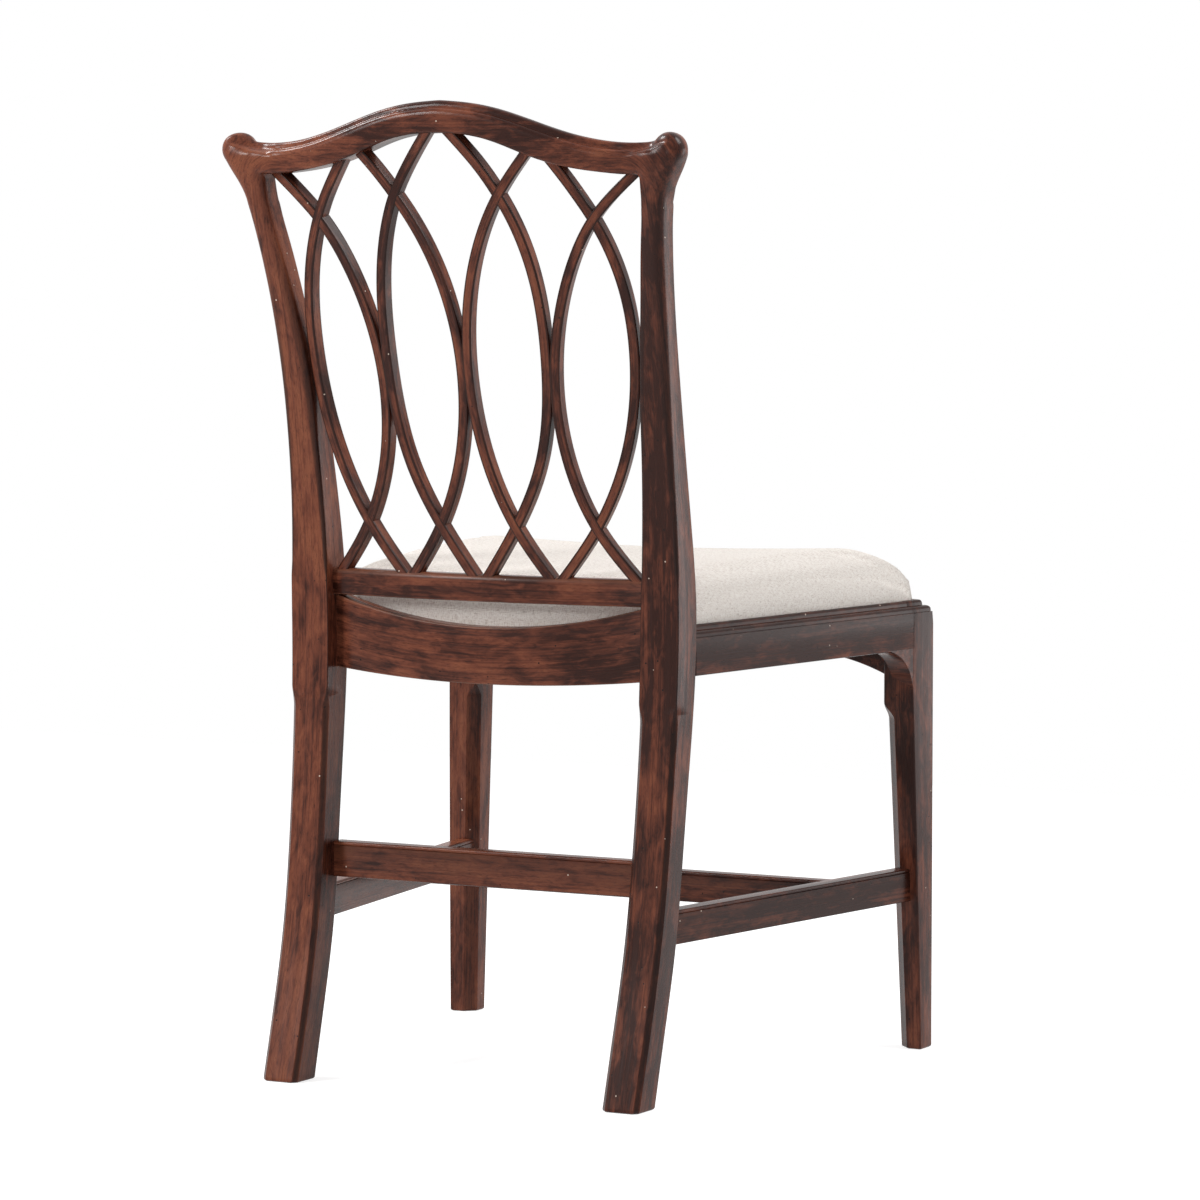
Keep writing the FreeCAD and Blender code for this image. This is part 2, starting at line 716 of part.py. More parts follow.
# Legs and rails of the left half, then their mirror images
rear = rear_leg()
front = front_leg()
rail_left = side_rail(front, rear)
front_end = (FRONT_LEG_DEPTH - SIDE_TENON_FRONT, FRONT_LEG_DEPTH + TENON_ROOT)
rear_end = (SIDE_LENGTH - TENON_SHOULDER, SIDE_LENGTH + TENON_DEPTH)
tenon_front, tenon_rear = side_tenons(front_end, rear_end)
rail_left = rail_left.fuse(tenon_front).fuse(tenon_rear).removeSplitter()
front = front.cut(tenon_front)
rear = rear.cut(tenon_rear)

front_cross = front_rail()
front_tenon = cross_tenon(FRONT_HALF - FRONT_LEG_WIDTH, TENON_DEPTH, FRONT_Y + FRONT_TENON_INSET,
                          RAIL_BOTTOM + TENON_SHOULDER, LEDGE - TENON_SHOULDER)
front_tenon = front_tenon.cut(tenon_front)
front_cross = front_cross.fuse(front_tenon).fuse(mirrored(front_tenon)).removeSplitter()
front = front.cut(front_tenon)

rear_cross = largest(rear_rail().cut(rear).cut(mirrored(rear)))
bow_at_post = BOW_RADIUS - math.sqrt(BOW_RADIUS ** 2 - POST_INNER ** 2)
rear_tenon_y = REAR_RAIL_BACK_Y - bow_at_post - REAR_RAIL_DEPTH / 2 + TENON_THICKNESS / 2
rear_tenon = cross_tenon(POST_INNER, TENON_DEPTH, rear_tenon_y, RAIL_BOTTOM + TENON_SHOULDER,
                         LIP_TOP - TENON_SHOULDER)
rear_tenon = rear_tenon.cut(tenon_rear)
rear_cross = rear_cross.fuse(rear_tenon).fuse(mirrored(rear_tenon)).removeSplitter()
rear = rear.cut(rear_tenon)

shoe = shoe_rail().common(box(-SHOE_HALF, SHOE_HALF, -FAR, FAR, FLOOR, SHOE_TOP + PAST))
shoe_tenon_y = SHOE_BACK_Y - bow_at_post - SHOE_DEPTH / 2 + TENON_ROOT
shoe_tenon = cross_tenon(POST_INNER, TENON_DEPTH, shoe_tenon_y, SHOE_BOTTOM + TENON_SHOULDER,
                         SHOE_TOP - TENON_SHOULDER)
shoe = shoe.fuse(shoe_tenon).fuse(mirrored(shoe_tenon))
rear = rear.cut(shoe_tenon)

# Trellis
bars_left = trellis(rear)
bars = bars_left + [mirrored(bar) for bar in reversed(bars_left)]

# Crest, mortised for the posts and the bars
tenon = post_tenon()
rear = rear.fuse(tenon)
crest = crest_rail().cut(rear).cut(mirrored(rear))
crest = largest(crest)
for bar in bars:
    crest = crest.cut(bar)
    shoe = shoe.cut(bar)

# Stretchers
low, high = REAR_STRETCHER_Z
cross_low = cross_stretcher(REAR_STRETCHER_BACK_Y, STRETCHER_DEPTH, low, high, POST_INNER + TENON_DEPTH)
cross_low = largest(cross_low.cut(rear).cut(mirrored(rear)))
low_tenon_y = REAR_STRETCHER_BACK_Y - STRETCHER_DEPTH / 2 + TENON_ROOT
low_tenon = cross_tenon(LOWER_STATIONS[2][2], TENON_DEPTH, low_tenon_y, low + TENON_SHOULDER,
                        high - TENON_SHOULDER)
cross_low = cross_low.fuse(low_tenon).fuse(mirrored(low_tenon)).removeSplitter()
rear = rear.cut(low_tenon)

side_low = largest(side_stretcher().cut(front).cut(rear))
low, high = SIDE_STRETCHER_Z
medial = cross_stretcher(MEDIAL_BACK_Y, MEDIAL_DEPTH, low + 1, high - 1, FRONT_HALF)
medial = largest(medial.cut(side_low).cut(mirrored(side_low)))
medial_y = MEDIAL_BACK_Y - MEDIAL_DEPTH / 2
medial_end = side_x(SIDE_STRETCHER_INSET + STRETCHER_DEPTH, medial_y) - TENON_ROOT
medial_tenon = cross_tenon(medial_end, STRETCHER_DEPTH / 2 + TENON_ROOT, medial_y,
                           low + MEDIAL_TENON_SHOULDER, high - MEDIAL_TENON_SHOULDER)
medial = medial.fuse(medial_tenon).fuse(mirrored(medial_tenon)).removeSplitter()
side_low = side_low.cut(medial_tenon)

# Brackets below the rails
side_corner = side_point(BRACKET_INSET, FRONT_LEG_DEPTH / SIDE_RUN.y, RAIL_BOTTOM)
side_bracket = bracket(side_corner, SIDE_RUN, SIDE_INWARD, SIDE_BRACKET, SIDE_BRACKET, SIDE_BRACKET_MIDDLE)
side_bracket = side_bracket.cut(front)
front_corner = Vec(FRONT_HALF - FRONT_LEG_WIDTH, FRONT_Y + BRACKET_INSET, RAIL_BOTTOM)
front_bracket = bracket(front_corner, Vec(-1, 0, 0), Vec(0, 1, 0), FRONT_BRACKET, FRONT_BRACKET_DROP,
                        FRONT_BRACKET_MIDDLE)
front_bracket = largest(front_bracket.cut(front_cross))

# Glue blocks and their screws
inner = RAIL_THICKNESS
front_angle = (Vec(side_x(inner, FRONT_Y + inner), FRONT_Y + inner, 0), Vec(-1, 0, 0), SIDE_RUN)
front_screws, front_bores = block_screws(*front_angle)
front_block = largest(corner_block(*front_angle).cut(front).cut(front_cross))
front_block = drilled(front_block, front_screws, front_bores)
rear_angle = (Vec(side_x(inner, REAR_BLOCK_Y), REAR_BLOCK_Y, 0), Vec(-1, 0, 0), SIDE_RUN * -1)
rear_screws, rear_bores = block_screws(*rear_angle)
rear_block = largest(corner_block(*rear_angle).cut(rear).cut(rear_cross))
rear_block = drilled(rear_block, rear_screws, rear_bores)
left_screws = front_screws + rear_screws
rail_left = drilled(rail_left, left_screws, [])
for tool in left_screws:
    front_cross = front_cross.cut(tool).cut(mirrored(tool))
    rear_cross = rear_cross.cut(tool).cut(mirrored(tool))
screws = Part.makeCompound(left_screws + [mirrored(screw) for screw in left_screws])

# Drop-in seat: frame, webbing, pad, cover and dust cloth
seat_inset = LIP_INSET + SEAT_GAP
skirt_inset = seat_inset + PAD_DRAW_IN + SKIRT_STEP
frame_inset = skirt_inset + COVER_THICKNESS
open_inset = frame_inset + FRAME_WIDTH
open_front = FRONT_Y + open_inset
open_rear = SEAT_REAR_Y - COVER_THICKNESS - FRAME_WIDTH
beyond = REAR_LEG_FRONT_Y + PAST
ring = seat_pocket(frame_inset, beyond, FRAME_BOTTOM, FRAME_TOP).cut(seat_rear_cut(COVER_THICKNESS))
ring = ring.cut(seat_pocket(open_inset, open_rear, FRAME_BOTTOM - 1, FRAME_TOP + 1))

straps = []
low_layer = FRAME_TOP - 2 * STRAP_THICKNESS
high_layer = FRAME_TOP - STRAP_THICKNESS
reach_x = side_x(open_inset, open_front) - STRAP_WIDTH
reach_y = (open_rear - open_front) / (STRAP_COUNT + 1)
for k in range(STRAP_COUNT):
    x = (k - (STRAP_COUNT - 1) / 2) * reach_x * 2 / STRAP_COUNT
    straps.append(box(x - STRAP_WIDTH / 2, x + STRAP_WIDTH / 2, open_front - STRAP_LAP,
                      open_rear + STRAP_LAP, high_layer, FRAME_TOP))
    y = open_front + reach_y * (k + 1)
    half = side_x(open_inset, y) + STRAP_LAP
    straps.append(box(-half, half, y - STRAP_WIDTH / 2, y + STRAP_WIDTH / 2, low_layer, high_layer))
for strap in straps:
    ring = ring.cut(strap)

tongue_half = TONGUE_WIDTH / 2
tongue_z = (FRAME_BOTTOM + TENON_SHOULDER - TENON_ROOT, low_layer - TENON_ROOT)
front_x = side_x(frame_inset + FRAME_WIDTH / 2, open_front)
rear_x = side_x(frame_inset + FRAME_WIDTH / 2, open_rear)
tongues = [
    box(front_x - tongue_half, front_x + tongue_half, open_front - TENON_DEPTH, open_front + 1, *tongue_z),
    box(rear_x - tongue_half, rear_x + tongue_half, open_rear - 1, open_rear + TENON_DEPTH, *tongue_z),
]
frame_z = (FRAME_BOTTOM - PAST, FRAME_TOP + PAST)
frame_front = ring.common(box(-FAR, FAR, FRONT_Y, open_front, *frame_z))
frame_rear = ring.common(box(-FAR, FAR, open_rear, FAR, *frame_z))
frame_left = ring.common(box(0, FAR, open_front, open_rear, *frame_z))
for tongue in tongues:
    frame_left = frame_left.fuse(tongue)
    frame_front = frame_front.cut(tongue).cut(mirrored(tongue))
    frame_rear = frame_rear.cut(tongue).cut(mirrored(tongue))
frame_left = frame_left.removeSplitter()

pad = seat_form(seat_inset, COVER_THICKNESS).cut(seat_rear_cut(COVER_THICKNESS))
cover = seat_form(seat_inset, 0.0).cut(seat_rear_cut(0.0)).cut(pad)
skirt = seat_pocket(skirt_inset, beyond, FRAME_BOTTOM, FRAME_TOP)
skirt = skirt.cut(seat_pocket(frame_inset, beyond, FRAME_BOTTOM, FRAME_TOP))
skirt = skirt.cut(seat_rear_cut(COVER_THICKNESS + SKIRT_END))
cover = cover.fuse(skirt).removeSplitter()
cloth = seat_pocket(frame_inset + CLOTH_INSET, beyond, FRAME_BOTTOM - CLOTH_THICKNESS, FRAME_BOTTOM)
cloth = cloth.cut(seat_rear_cut(CLOTH_INSET + COVER_THICKNESS))

export("rear_leg_left", rear)
export("rear_leg_right", mirrored(rear))
export("front_leg_left", front)
export("front_leg_right", mirrored(front))
export("side_seat_rail_left", rail_left)
export("side_seat_rail_right", mirrored(rail_left))
export("front_seat_rail", front_cross)
export("rear_seat_rail", rear_cross)
export("shoe_rail", shoe)
export("crest_rail", crest)
for number, bar in enumerate(bars, start=1):
    export("trellis_bar_%d" % number, bar)
export("rear_stretcher", cross_low)
export("side_stretcher_left", side_low)
export("side_stretcher_right", mirrored(side_low))
export("medial_stretcher", medial)
export("side_bracket_left", side_bracket)
export("side_bracket_right", mirrored(side_bracket))
export("front_bracket_left", front_bracket)
export("front_bracket_right", mirrored(front_bracket))
export("corner_block_1", front_block)
export("corner_block_2", mirrored(front_block))
export("corner_block_3", rear_block)
export("corner_block_4", mirrored(rear_block))
export("corner_block_screws", screws)
export("seat_frame_front", frame_front)
export("seat_frame_rear", frame_rear)
export("seat_frame_left", frame_left)
export("seat_frame_right", mirrored(frame_left))
export("seat_webbing", Part.makeCompound(straps))
export("seat_pad", pad)
export("seat_cover", cover)
export("seat_dust_cloth", cloth)
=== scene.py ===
import itertools
import math

import bmesh
import bpy
import numpy as np
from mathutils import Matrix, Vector


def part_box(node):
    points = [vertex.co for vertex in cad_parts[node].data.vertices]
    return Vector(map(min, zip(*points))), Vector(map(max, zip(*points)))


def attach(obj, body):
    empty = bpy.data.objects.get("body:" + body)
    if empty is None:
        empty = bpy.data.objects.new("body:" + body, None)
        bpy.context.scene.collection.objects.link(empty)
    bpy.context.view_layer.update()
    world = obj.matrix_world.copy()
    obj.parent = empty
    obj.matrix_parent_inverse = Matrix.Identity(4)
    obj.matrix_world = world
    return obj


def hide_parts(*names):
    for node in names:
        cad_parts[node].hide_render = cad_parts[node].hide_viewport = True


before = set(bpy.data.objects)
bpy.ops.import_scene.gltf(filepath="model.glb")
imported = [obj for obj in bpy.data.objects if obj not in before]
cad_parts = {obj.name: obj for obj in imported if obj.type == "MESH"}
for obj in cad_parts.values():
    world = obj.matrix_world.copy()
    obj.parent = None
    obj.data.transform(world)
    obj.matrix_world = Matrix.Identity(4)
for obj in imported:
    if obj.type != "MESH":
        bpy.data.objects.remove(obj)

# Sizes are millimetres in the chair's drawing: +X is the sitter's left, the chair faces -Y,
# Y is 0 at the back of the rear feet and Z is 0 at the floor.
MM = 0.001
FRONT_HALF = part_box("front_leg_left")[1].x / MM
FRONT_Y = -525.0
SHIFT_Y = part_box("front_leg_left")[0].y / MM - FRONT_Y
SIDES = (("left", 1), ("right", -1))
SHARP_ANGLE = math.radians(34)
BOARD_STEP = (1.7, 0.31, 0.53)

# Seat rails
RAIL_BOTTOM = 420.0
FACE_TOP = 457.4
BEAD_TOP = 464.0
LIP_TOP = 470.0
LEDGE = 450.0
BEAD_WIDTH = 7.4
LIP_INSET = 13.0
RAIL_THICKNESS = 27.0
RAIL_EASE = 1.2
LET_IN = 1.5
REAR_HALF = 222.0
REAR_LEG_FRONT_Y = -113.0
FRONT_DIP = 13.0

# Front legs
LEG_WIDTH = 39.5
LEG_DEPTH = 38.0
FOOT_SIZE = 27.5
LEG_CHAMFER = 11.5
CHAMFER_STOP = (346.0, 363.0)
LEG_EASE = 2.6
POCKET_INNER = 200.0
POCKET_LENGTH = 60.0
FOOT_EASE = 2.5
FOOT_RINGS = (0.0, 0.8, 2.2, 4.0)
SIDE_BRACKET = 49.0
FRONT_BRACKET = 110.0
FRONT_BRACKET_DROP = 31.0
BRACKET_THICKNESS = 25.0

# Rear legs: height, outer face, inner face, back, front
POST = [
    (0, 215.5, 174.5, 0, -38.5),
    (60, 216.2, 174.6, -17.8, -54.5),
    (150, 217, 175.8, -41.3, -78.3),
    (250, 218.4, 177.2, -57.5, -93),
    (330, 219.6, 178.3, -66.2, -103),
    (388, 220.8, 178.7, -71.2, -109.3),
    (450, 221.8, 179, -73.5, -113),
    (510, 221.9, 180.2, -72.8, -111),
    (570, 220.6, 182, -69.8, -104.5),
    (640, 219.8, 184.8, -61.8, -93.8),
    (710, 221, 188, -51, -80),
    (780, 224.4, 196, -36.3, -63.5),
    (850, 230.6, 206, -17.8, -46.5),
    (880, 235.2, 210.6, -9.7, -39),
    (896, 239.5, 211.6, -5.5, -35.8),
    (908, 245.5, 212.2, -2.6, -33.4),
    (920, 252.5, 213, 0.2, -31.2),
    (934, 258.5, 214, 2.6, -29),
]
# Rear legs: height, how far the back corners are cut back, and 0 for a chamfer or 1 for a round
POST_CORNERS = [
    (0, 5, 0),
    (376, 5, 0),
    (384, 3.2, 0),
    (394, 1.2, 1),
    (506, 1.2, 1),
    (522, 3.6, 1),
    (570, 4.6, 1),
    (640, 6.5, 1),
    (720, 8.5, 1),
    (800, 10.5, 1),
    (930, 12, 1),
]
POST_FRONT_EASE = 2.2
POST_SEAM = 880.0
POST_TOP = 900.0
POST_STUB_INSET = 1.3
GRAIN_PIVOT = (196.0, 898.0)
GRAIN_TURN = 25.0

# Back: a surface swept round an upright axis, and the bars that lie on it
BOW_RADIUS = 1000.0
BACK_ARC = ((-71.0, 505.0), (-41.0, 713.0), (19.0, 960.0))
BAR_WIDTH = 10.4
BAR_DEPTH = 13.0
BAR_EASE = 1.3
SHADE_FADE = 1.0
LAP_STEP = 0.3
BAR_TUCK = 2.6
BARS = [
    [(112.5, 933), (156.4, 868), (178.5, 805), (183.4, 735), (167, 640), (131, 564), (86, 506)],
    [(206, 914), (156.4, 868), (127, 820), (98.4, 705), (106.2, 625), (131, 564), (175.7, 506)],
    [(7, 958), (59, 891), (84.8, 820), (90.6, 730), (74, 625), (43, 563), (3.3, 506)],
    [(100, 938), (59, 891), (21.4, 820), (4.1, 715), (16.6, 625), (43, 563), (83.8, 506)],
]

# Crest: distance from the middle, underside, top
CREST = [
    (0, 952.5, 984.5),
    (30, 950.8, 982.2),
    (60, 944.5, 977),
    (100, 930, 965),
    (140, 919.3, 952.3),
    (180, 913.8, 944.5),
    (210, 912.5, 943.3),
    (238, 916, 946),
]
CREST_DEPTH = 30.0
CREST_BACK_Y = 20.0
CREST_END_Y = 2.0
CREST_SWEEP = (140.0, 226.0)
CREST_LEAN = 0.2
CREST_BEAD = 7.0
SHOULDER_SHARE = 0.62
CREASE_DEPTH = 8.0
ROLL_DEPTH = 16.0
CREST_EASE = 2.2
CREST_FRONT_EASE = 3.0
CREST_HALF = 238.0
EAR = (243.0, -14.0, 936.6)
EAR_RADII = (17.5, 16.6, 17.0)
EAR_SQUARENESS = 0.6
EAR_CREASE = (937.0, 222.0, 0.25)
EAR_STEP = 5.0
CREST_VOXEL = 0.9
CREST_KEPT_FACES = 0.4
CREST_SHARP_ANGLE = math.radians(60)

# Rails of the back and stretchers
SHOE_Z = (488.0, 515.0)
SHOE_BACK_Y = -69.0
SHOE_DEPTH = 20.0
SHOE_ROUND = 6.0
REAR_RAIL_BACK_Y = -75.0
REAR_RAIL_DEPTH = 21.0
REAR_RAIL_TOP = (462.0, 487.6)
REAR_RAIL_BOTTOM = (405.0, 414.0)
POST_INNER = 179.6
STRETCHER_DEPTH = 19.0
STRETCHER_BEAD = 4.2
QUIRK = 0.9
REAR_STRETCHER_Z = (201.0, 237.0)
REAR_STRETCHER_BACK_Y = -80.3
SIDE_STRETCHER_Z = (156.0, 190.0)
SIDE_STRETCHER_INSET = 6.0
MEDIAL_BACK_Y = -370.0
MEDIAL_DEPTH = 18.0

# Seat
SEAT_REAR_Y = -97.0
SEAT_INSET = 14.0
SEAT_NOTCH = (169.0, -117.0)
SKIRT_BOTTOM = 451.8
SEAT_BASE = 468.0
SEAT_RISE = 54.0
WALL_SHARE = 0.24
EDGE_ROLL = 48.0
SEAT_DISH = 5.5
CORNER_POWER = 3.5
CUSHION_GRID = 56
# Seat: distance back from its front edge, and its height there as a share of its full height
SEAT_SHARES = ((0, 1.0), (180, 1.0), (250, 0.97), (320, 0.92), (380, 0.85), (425, 0.78))
CUSHION_VOXEL = 4.5
CUSHION_PRESSURE = 3.0
CUSHION_SWELL = 3.0
CUSHION_HELD_Z = 474.0
CLOTH_FRAMES = 20


def metres(points):
    """Points of the drawing as points of the frame."""
    return (np.asarray(points, float) + (0.0, SHIFT_Y, 0.0)) * MM


def smoothstep(value, low, high):
    t = np.clip((value - low) / (high - low), 0.0, 1.0)
    return t * t * (3 - 2 * t)


def natural_curve(table):
    """Smooth curve through rows of (position, values...), as a function of position."""
    rows = np.array(table, float)
    at, values = rows[:, 0], rows[:, 1:]
    count = len(at)
    gap = np.diff(at)
    slope = np.diff(values, axis=0) / gap[:, None]
    system = np.eye(count)
    bend = np.zeros_like(values)
    for i in range(1, count - 1):
        system[i, i - 1:i + 2] = gap[i - 1], 2 * (gap[i - 1] + gap[i]), gap[i]
        bend[i] = 6 * (slope[i] - slope[i - 1])
    bend = np.linalg.solve(system, bend)

    def value(position):
        i = int(np.clip(np.searchsorted(at, position) - 1, 0, count - 2))
        before, after = position - at[i], at[i + 1] - position
        curve = (bend[i] * after ** 3 + bend[i + 1] * before ** 3) / (6 * gap[i])
        left = values[i] / gap[i] - bend[i] * gap[i] / 6
        right = values[i + 1] / gap[i] - bend[i + 1] * gap[i] / 6
        return curve + left * after + right * before

    return value


def bezier(start, control, end, count):
    """Points of a quadratic curve, without its start."""
    t = np.linspace(0, 1, count + 1)[1:, None]
    start, control, end = np.array(start, float), np.array(control, float), np.array(end, float)
    points = (1 - t) ** 2 * start + 2 * t * (1 - t) * control + t ** 2 * end
    return [tuple(point) for point in points]


def cut_corners(corners, reaches, rounds, steps=4):
    """Outline of a polygon with each corner cut back by its reach, and how exposed each point is."""
    corners = [np.array(corner, float) for corner in corners]
    t = np.linspace(0, 1, steps + 1)[:, None]
    points = []
    for i, corner in enumerate(corners):
        ends = []
        for other in (corners[i - 1], corners[(i + 1) % len(corners)]):
            away = other - corner
            ends.append(corner + away * (reaches[i] / np.linalg.norm(away)))
        curve = (1 - t) ** 2 * ends[0] + 2 * t * (1 - t) * corner + t ** 2 * ends[1]
        chord = ends[0] + (ends[1] - ends[0]) * t
        points.append(curve * rounds[i] + chord * (1 - rounds[i]))
    edge_wear_and_shade = np.tile((4 * t * (1 - t))[:, 0], len(corners))
    return np.vstack(points), edge_wear_and_shade


def ring_faces(rings, around):
    """Faces of a skin over rings of points, closed at both ends."""
    faces = []
    for i in range(rings - 1):
        for j in range(around):
            k = (j + 1) % around
            faces.append((i * around + j, i * around + k, (i + 1) * around + k, (i + 1) * around + j))
    faces.append(tuple(range(around)))
    faces.append(tuple(range((rings - 1) * around, rings * around)))
    return faces


def along_grain(rings):
    """Distance along a lofted piece and the two distances from its middle line, in metres."""
    middle = rings.mean(axis=1)
    steps = np.linalg.norm(np.diff(middle, axis=0), axis=1)
    along = np.concatenate([[0.0], np.cumsum(steps)])
    run = middle[-1] - middle[0]
    run /= np.linalg.norm(run)
    up = (0, 1, 0) if abs(run[2]) > 0.7 else (0, 0, 1)
    side = np.cross(run, up)
    side /= np.linalg.norm(side)
    offset = rings - middle[:, None]
    across, deep = offset @ side, offset @ np.cross(run, side)
    return np.stack([np.broadcast_to(along[:, None], across.shape), across, deep], axis=2) * MM


def turned_grain(points):
    """Grain that runs up the left post, along the crest and down the right post, in metres."""
    points = np.asarray(points, float)
    pivot_x, pivot_z = GRAIN_PIVOT
    x, y, z = np.abs(points[..., 0]) - pivot_x, points[..., 1], points[..., 2] - pivot_z
    on_post, on_crest = z < 0, (x < 0) & (z >= 0)
    angle = np.arctan2(np.maximum(z, 0), np.maximum(x, 1e-6))
    along = np.where(on_post, z, np.where(on_crest, GRAIN_TURN * math.pi / 2 - x, GRAIN_TURN * angle))
    across = np.where(on_post, x, np.where(on_crest, z, np.hypot(x, z)))
    middle = GRAIN_TURN * math.pi / 2 + pivot_x
    along = np.where(points[..., 0] < 0, 2 * middle - along, along)
    post = np.array(POST)
    deep = y - np.interp(np.minimum(points[..., 2], pivot_z), post[:, 0], post[:, 3:].mean(axis=1))
    return np.stack([along, across, deep], axis=-1) * MM


def put(mesh, name, kind, values):
    """Stores a value per point for the materials."""
    layer = mesh.attributes.new(name, kind, "POINT")
    field = "vector" if kind == "FLOAT_VECTOR" else "value"
    layer.data.foreach_set(field, np.asarray(values, np.float32).ravel())


def new_mesh(name, points, faces):
    """Mesh over drawing points, with its faces turned outwards."""
    mesh = bpy.data.meshes.new(name)
    mesh.from_pydata(metres(points).tolist(), [], faces)
    shade(mesh)
    return mesh


def new_piece(name, data):
    piece = bpy.data.objects.new(name, data)
    bpy.context.scene.collection.objects.link(piece)
    return piece


def shade(mesh):
    """Outward faces, smooth but for the real edges."""
    skin = bmesh.new()
    skin.from_mesh(mesh)
    bmesh.ops.recalc_face_normals(skin, faces=skin.faces)
    skin.to_mesh(mesh)
    skin.free()
    mesh.shade_smooth()
    mesh.set_sharp_from_angle(angle=SHARP_ANGLE)


def apply_modifiers(piece):
    graph = bpy.context.evaluated_depsgraph_get()
    mesh = bpy.data.meshes.new_from_object(piece.evaluated_get(graph))
    piece.modifiers.clear()
    piece.data = mesh


def one_skin(piece, voxel):
    """Grows one even skin over a piece whose parts overlap."""
    remesh = piece.modifiers.new("one_skin", "REMESH")
    remesh.mode = "VOXEL"
    remesh.voxel_size = voxel * MM
    apply_modifiers(piece)


def lofted(name, rings, edge_wear_and_shade, grain, tone_and_side_light):
    """Piece over rings of drawing points, with its grain, its edge wear and painted edge shade, and its
    tone with painted side light stored on it.
    """
    count, around = rings.shape[:2]
    mesh = new_mesh(name, rings.reshape(-1, 3), ring_faces(count, around))
    put(mesh, "grain", "FLOAT_VECTOR", grain)
    put(mesh, "edge_wear_and_shade", "FLOAT", np.broadcast_to(edge_wear_and_shade, (count, around)))
    put(mesh, "tone_and_side_light", "FLOAT", np.broadcast_to(tone_and_side_light, (count, around)))
    return new_piece(name, mesh)


def dress(piece, slot, body, *nodes):
    """Gives a piece its material and its place among the bodies and nodes."""
    piece.data.materials.clear()
    piece.data.materials.append(MATERIALS[slot])
    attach(piece, body)
    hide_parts(*nodes)


board_numbers = itertools.count(1)


def wooden(node, rings, edge_wear_and_shade, grain_of=along_grain, tone_and_side_light=0.0):
    """Mahogany piece over rings, in place of a CAD node; every board has its own stretch of grain."""
    number = next(board_numbers)
    rings = np.asarray(rings, float)
    grain = grain_of(rings)
    if grain_of is along_grain:
        grain = grain + np.array(BOARD_STEP) * number
    piece = lofted(node + "_wood", rings, edge_wear_and_shade, grain, tone_and_side_light)
    dress(piece, "mahogany", "frame", node)
    return piece


def wooden_pair(node, rings, edge_wear_and_shade, grain_of=along_grain, tone_and_side_light=0.0):
    """The same on both sides of the chair; the left one is drawn lighter and the right one darker, as
    painted side light.
    """
    pieces = []
    for side, sign in SIDES:
        # Painted side light: lighter on the left, darker on the right
        tone_with_side_light = tone_and_side_light + PAINTED_SIDE_LIGHT * sign
        pieces.append(wooden(f"{node}_{side}", np.asarray(rings) * (sign, 1, 1), edge_wear_and_shade, grain_of, tone_with_side_light))
    return pieces


# Shader nodes


def feed(tree, item, inputs):
    """Gives each input of a shader node a value, or the socket it is fed from."""
    for key, value in inputs.items():
        if isinstance(value, bpy.types.NodeSocket):
            tree.links.new(value, item.inputs[key])
        else:
            item.inputs[key].default_value = value


def add(tree, kind, inputs=None, **properties):
    """Adds a shader node with its properties and inputs."""
    item = tree.nodes.new(kind)
    for name, value in properties.items():
        setattr(item, name, value)
    feed(tree, item, inputs or {})
    return item


def scaled(tree, vector, scale):
    return add(tree, "ShaderNodeVectorMath", {0: vector, 1: scale}, operation="MULTIPLY").outputs[0]


def noise(tree, vector, scale, detail=3.0, roughness=0.55, distortion=0.0):
    """Noise with so many features per metre along each axis of vector."""
    inputs = {"Vector": scaled(tree, vector, scale), "Scale": 1.0, "Detail": detail,
              "Roughness": roughness, "Distortion": distortion}
    return add(tree, "ShaderNodeTexNoise", inputs).outputs[0]


def ramp(tree, factor, stops):
    """Colours by factor; each stop is a position and a colour."""
    item = add(tree, "ShaderNodeValToRGB", {"Fac": factor})
    elements = item.color_ramp.elements
    while len(elements) < len(stops):
        elements.new(0.5)
    for element, (position, colour) in zip(elements, stops):
        element.position = position
        element.color = (*colour, 1.0)
    return item.outputs[0]


def span(tree, factor, low, high, to_low=0.0, to_high=1.0):
    inputs = {0: factor, 1: low, 2: high, 3: to_low, 4: to_high}
    return add(tree, "ShaderNodeMapRange", inputs).outputs[0]


def mix(tree, factor, first, second):
    """Mixes two colours, each given as a colour or as the socket it comes from."""
    inputs = {0: factor, 6: first, 7: second}
    for key in (6, 7):
        if isinstance(inputs[key], tuple):
            inputs[key] = (*inputs[key], 1.0)
    return add(tree, "ShaderNodeMix", inputs, data_type="RGBA").outputs[2]


def math_node(tree, operation, *inputs):
    return add(tree, "ShaderNodeMath", dict(enumerate(inputs)), operation=operation).outputs[0]


def attribute(tree, name, output):
    return add(tree, "ShaderNodeAttribute", attribute_name=name).outputs[output]


def new_material(name):
    """Empty node material with its shader."""
    material = bpy.data.materials.new(name)
    material.use_nodes = True
    tree = material.node_tree
    return material, tree, tree.nodes["Principled BSDF"]


def bump(tree, height, distance, strength=1.0):
    """Normal of a relief."""
    inputs = {"Height": height, "Distance": distance, "Strength": strength}
    return add(tree, "ShaderNodeBump", inputs).outputs[0]


# Materials

# What the pieces store for the wood: an edge value below 0 is painted shade on eased edges, beads and
# quirks, and above 0 it is wear; a tone value above 0 makes the figure lighter
EDGE_SHADE = -1.0
BEAD_SHADE = -0.7
# Seat rails, brackets and the heads of the front legs are drawn a little darker
RAIL_DARKENING = -0.02
# Painted side light: pieces on the left drawn lighter and on the right darker
PAINTED_SIDE_LIGHT = 0.026
# The rear stretcher is drawn a little lighter
REAR_STRETCHER_LIGHTENING = 0.055
# Features per metre along the grain and across it, and each layer's share of the figure
STREAKS, STREAK_SHARE = (2.5, 140.0, 140.0), 0.20
CLOUDS, CLOUD_SHARE = (8.0, 27.0, 27.0), 0.40
MOTTLES, MOTTLE_SHARE = (36.0, 120.0, 120.0), 0.26
FIBRES, FIBRE_SHARE = (9.0, 650.0, 650.0), 0.14
PORES = (150.0, 2300.0, 2300.0)
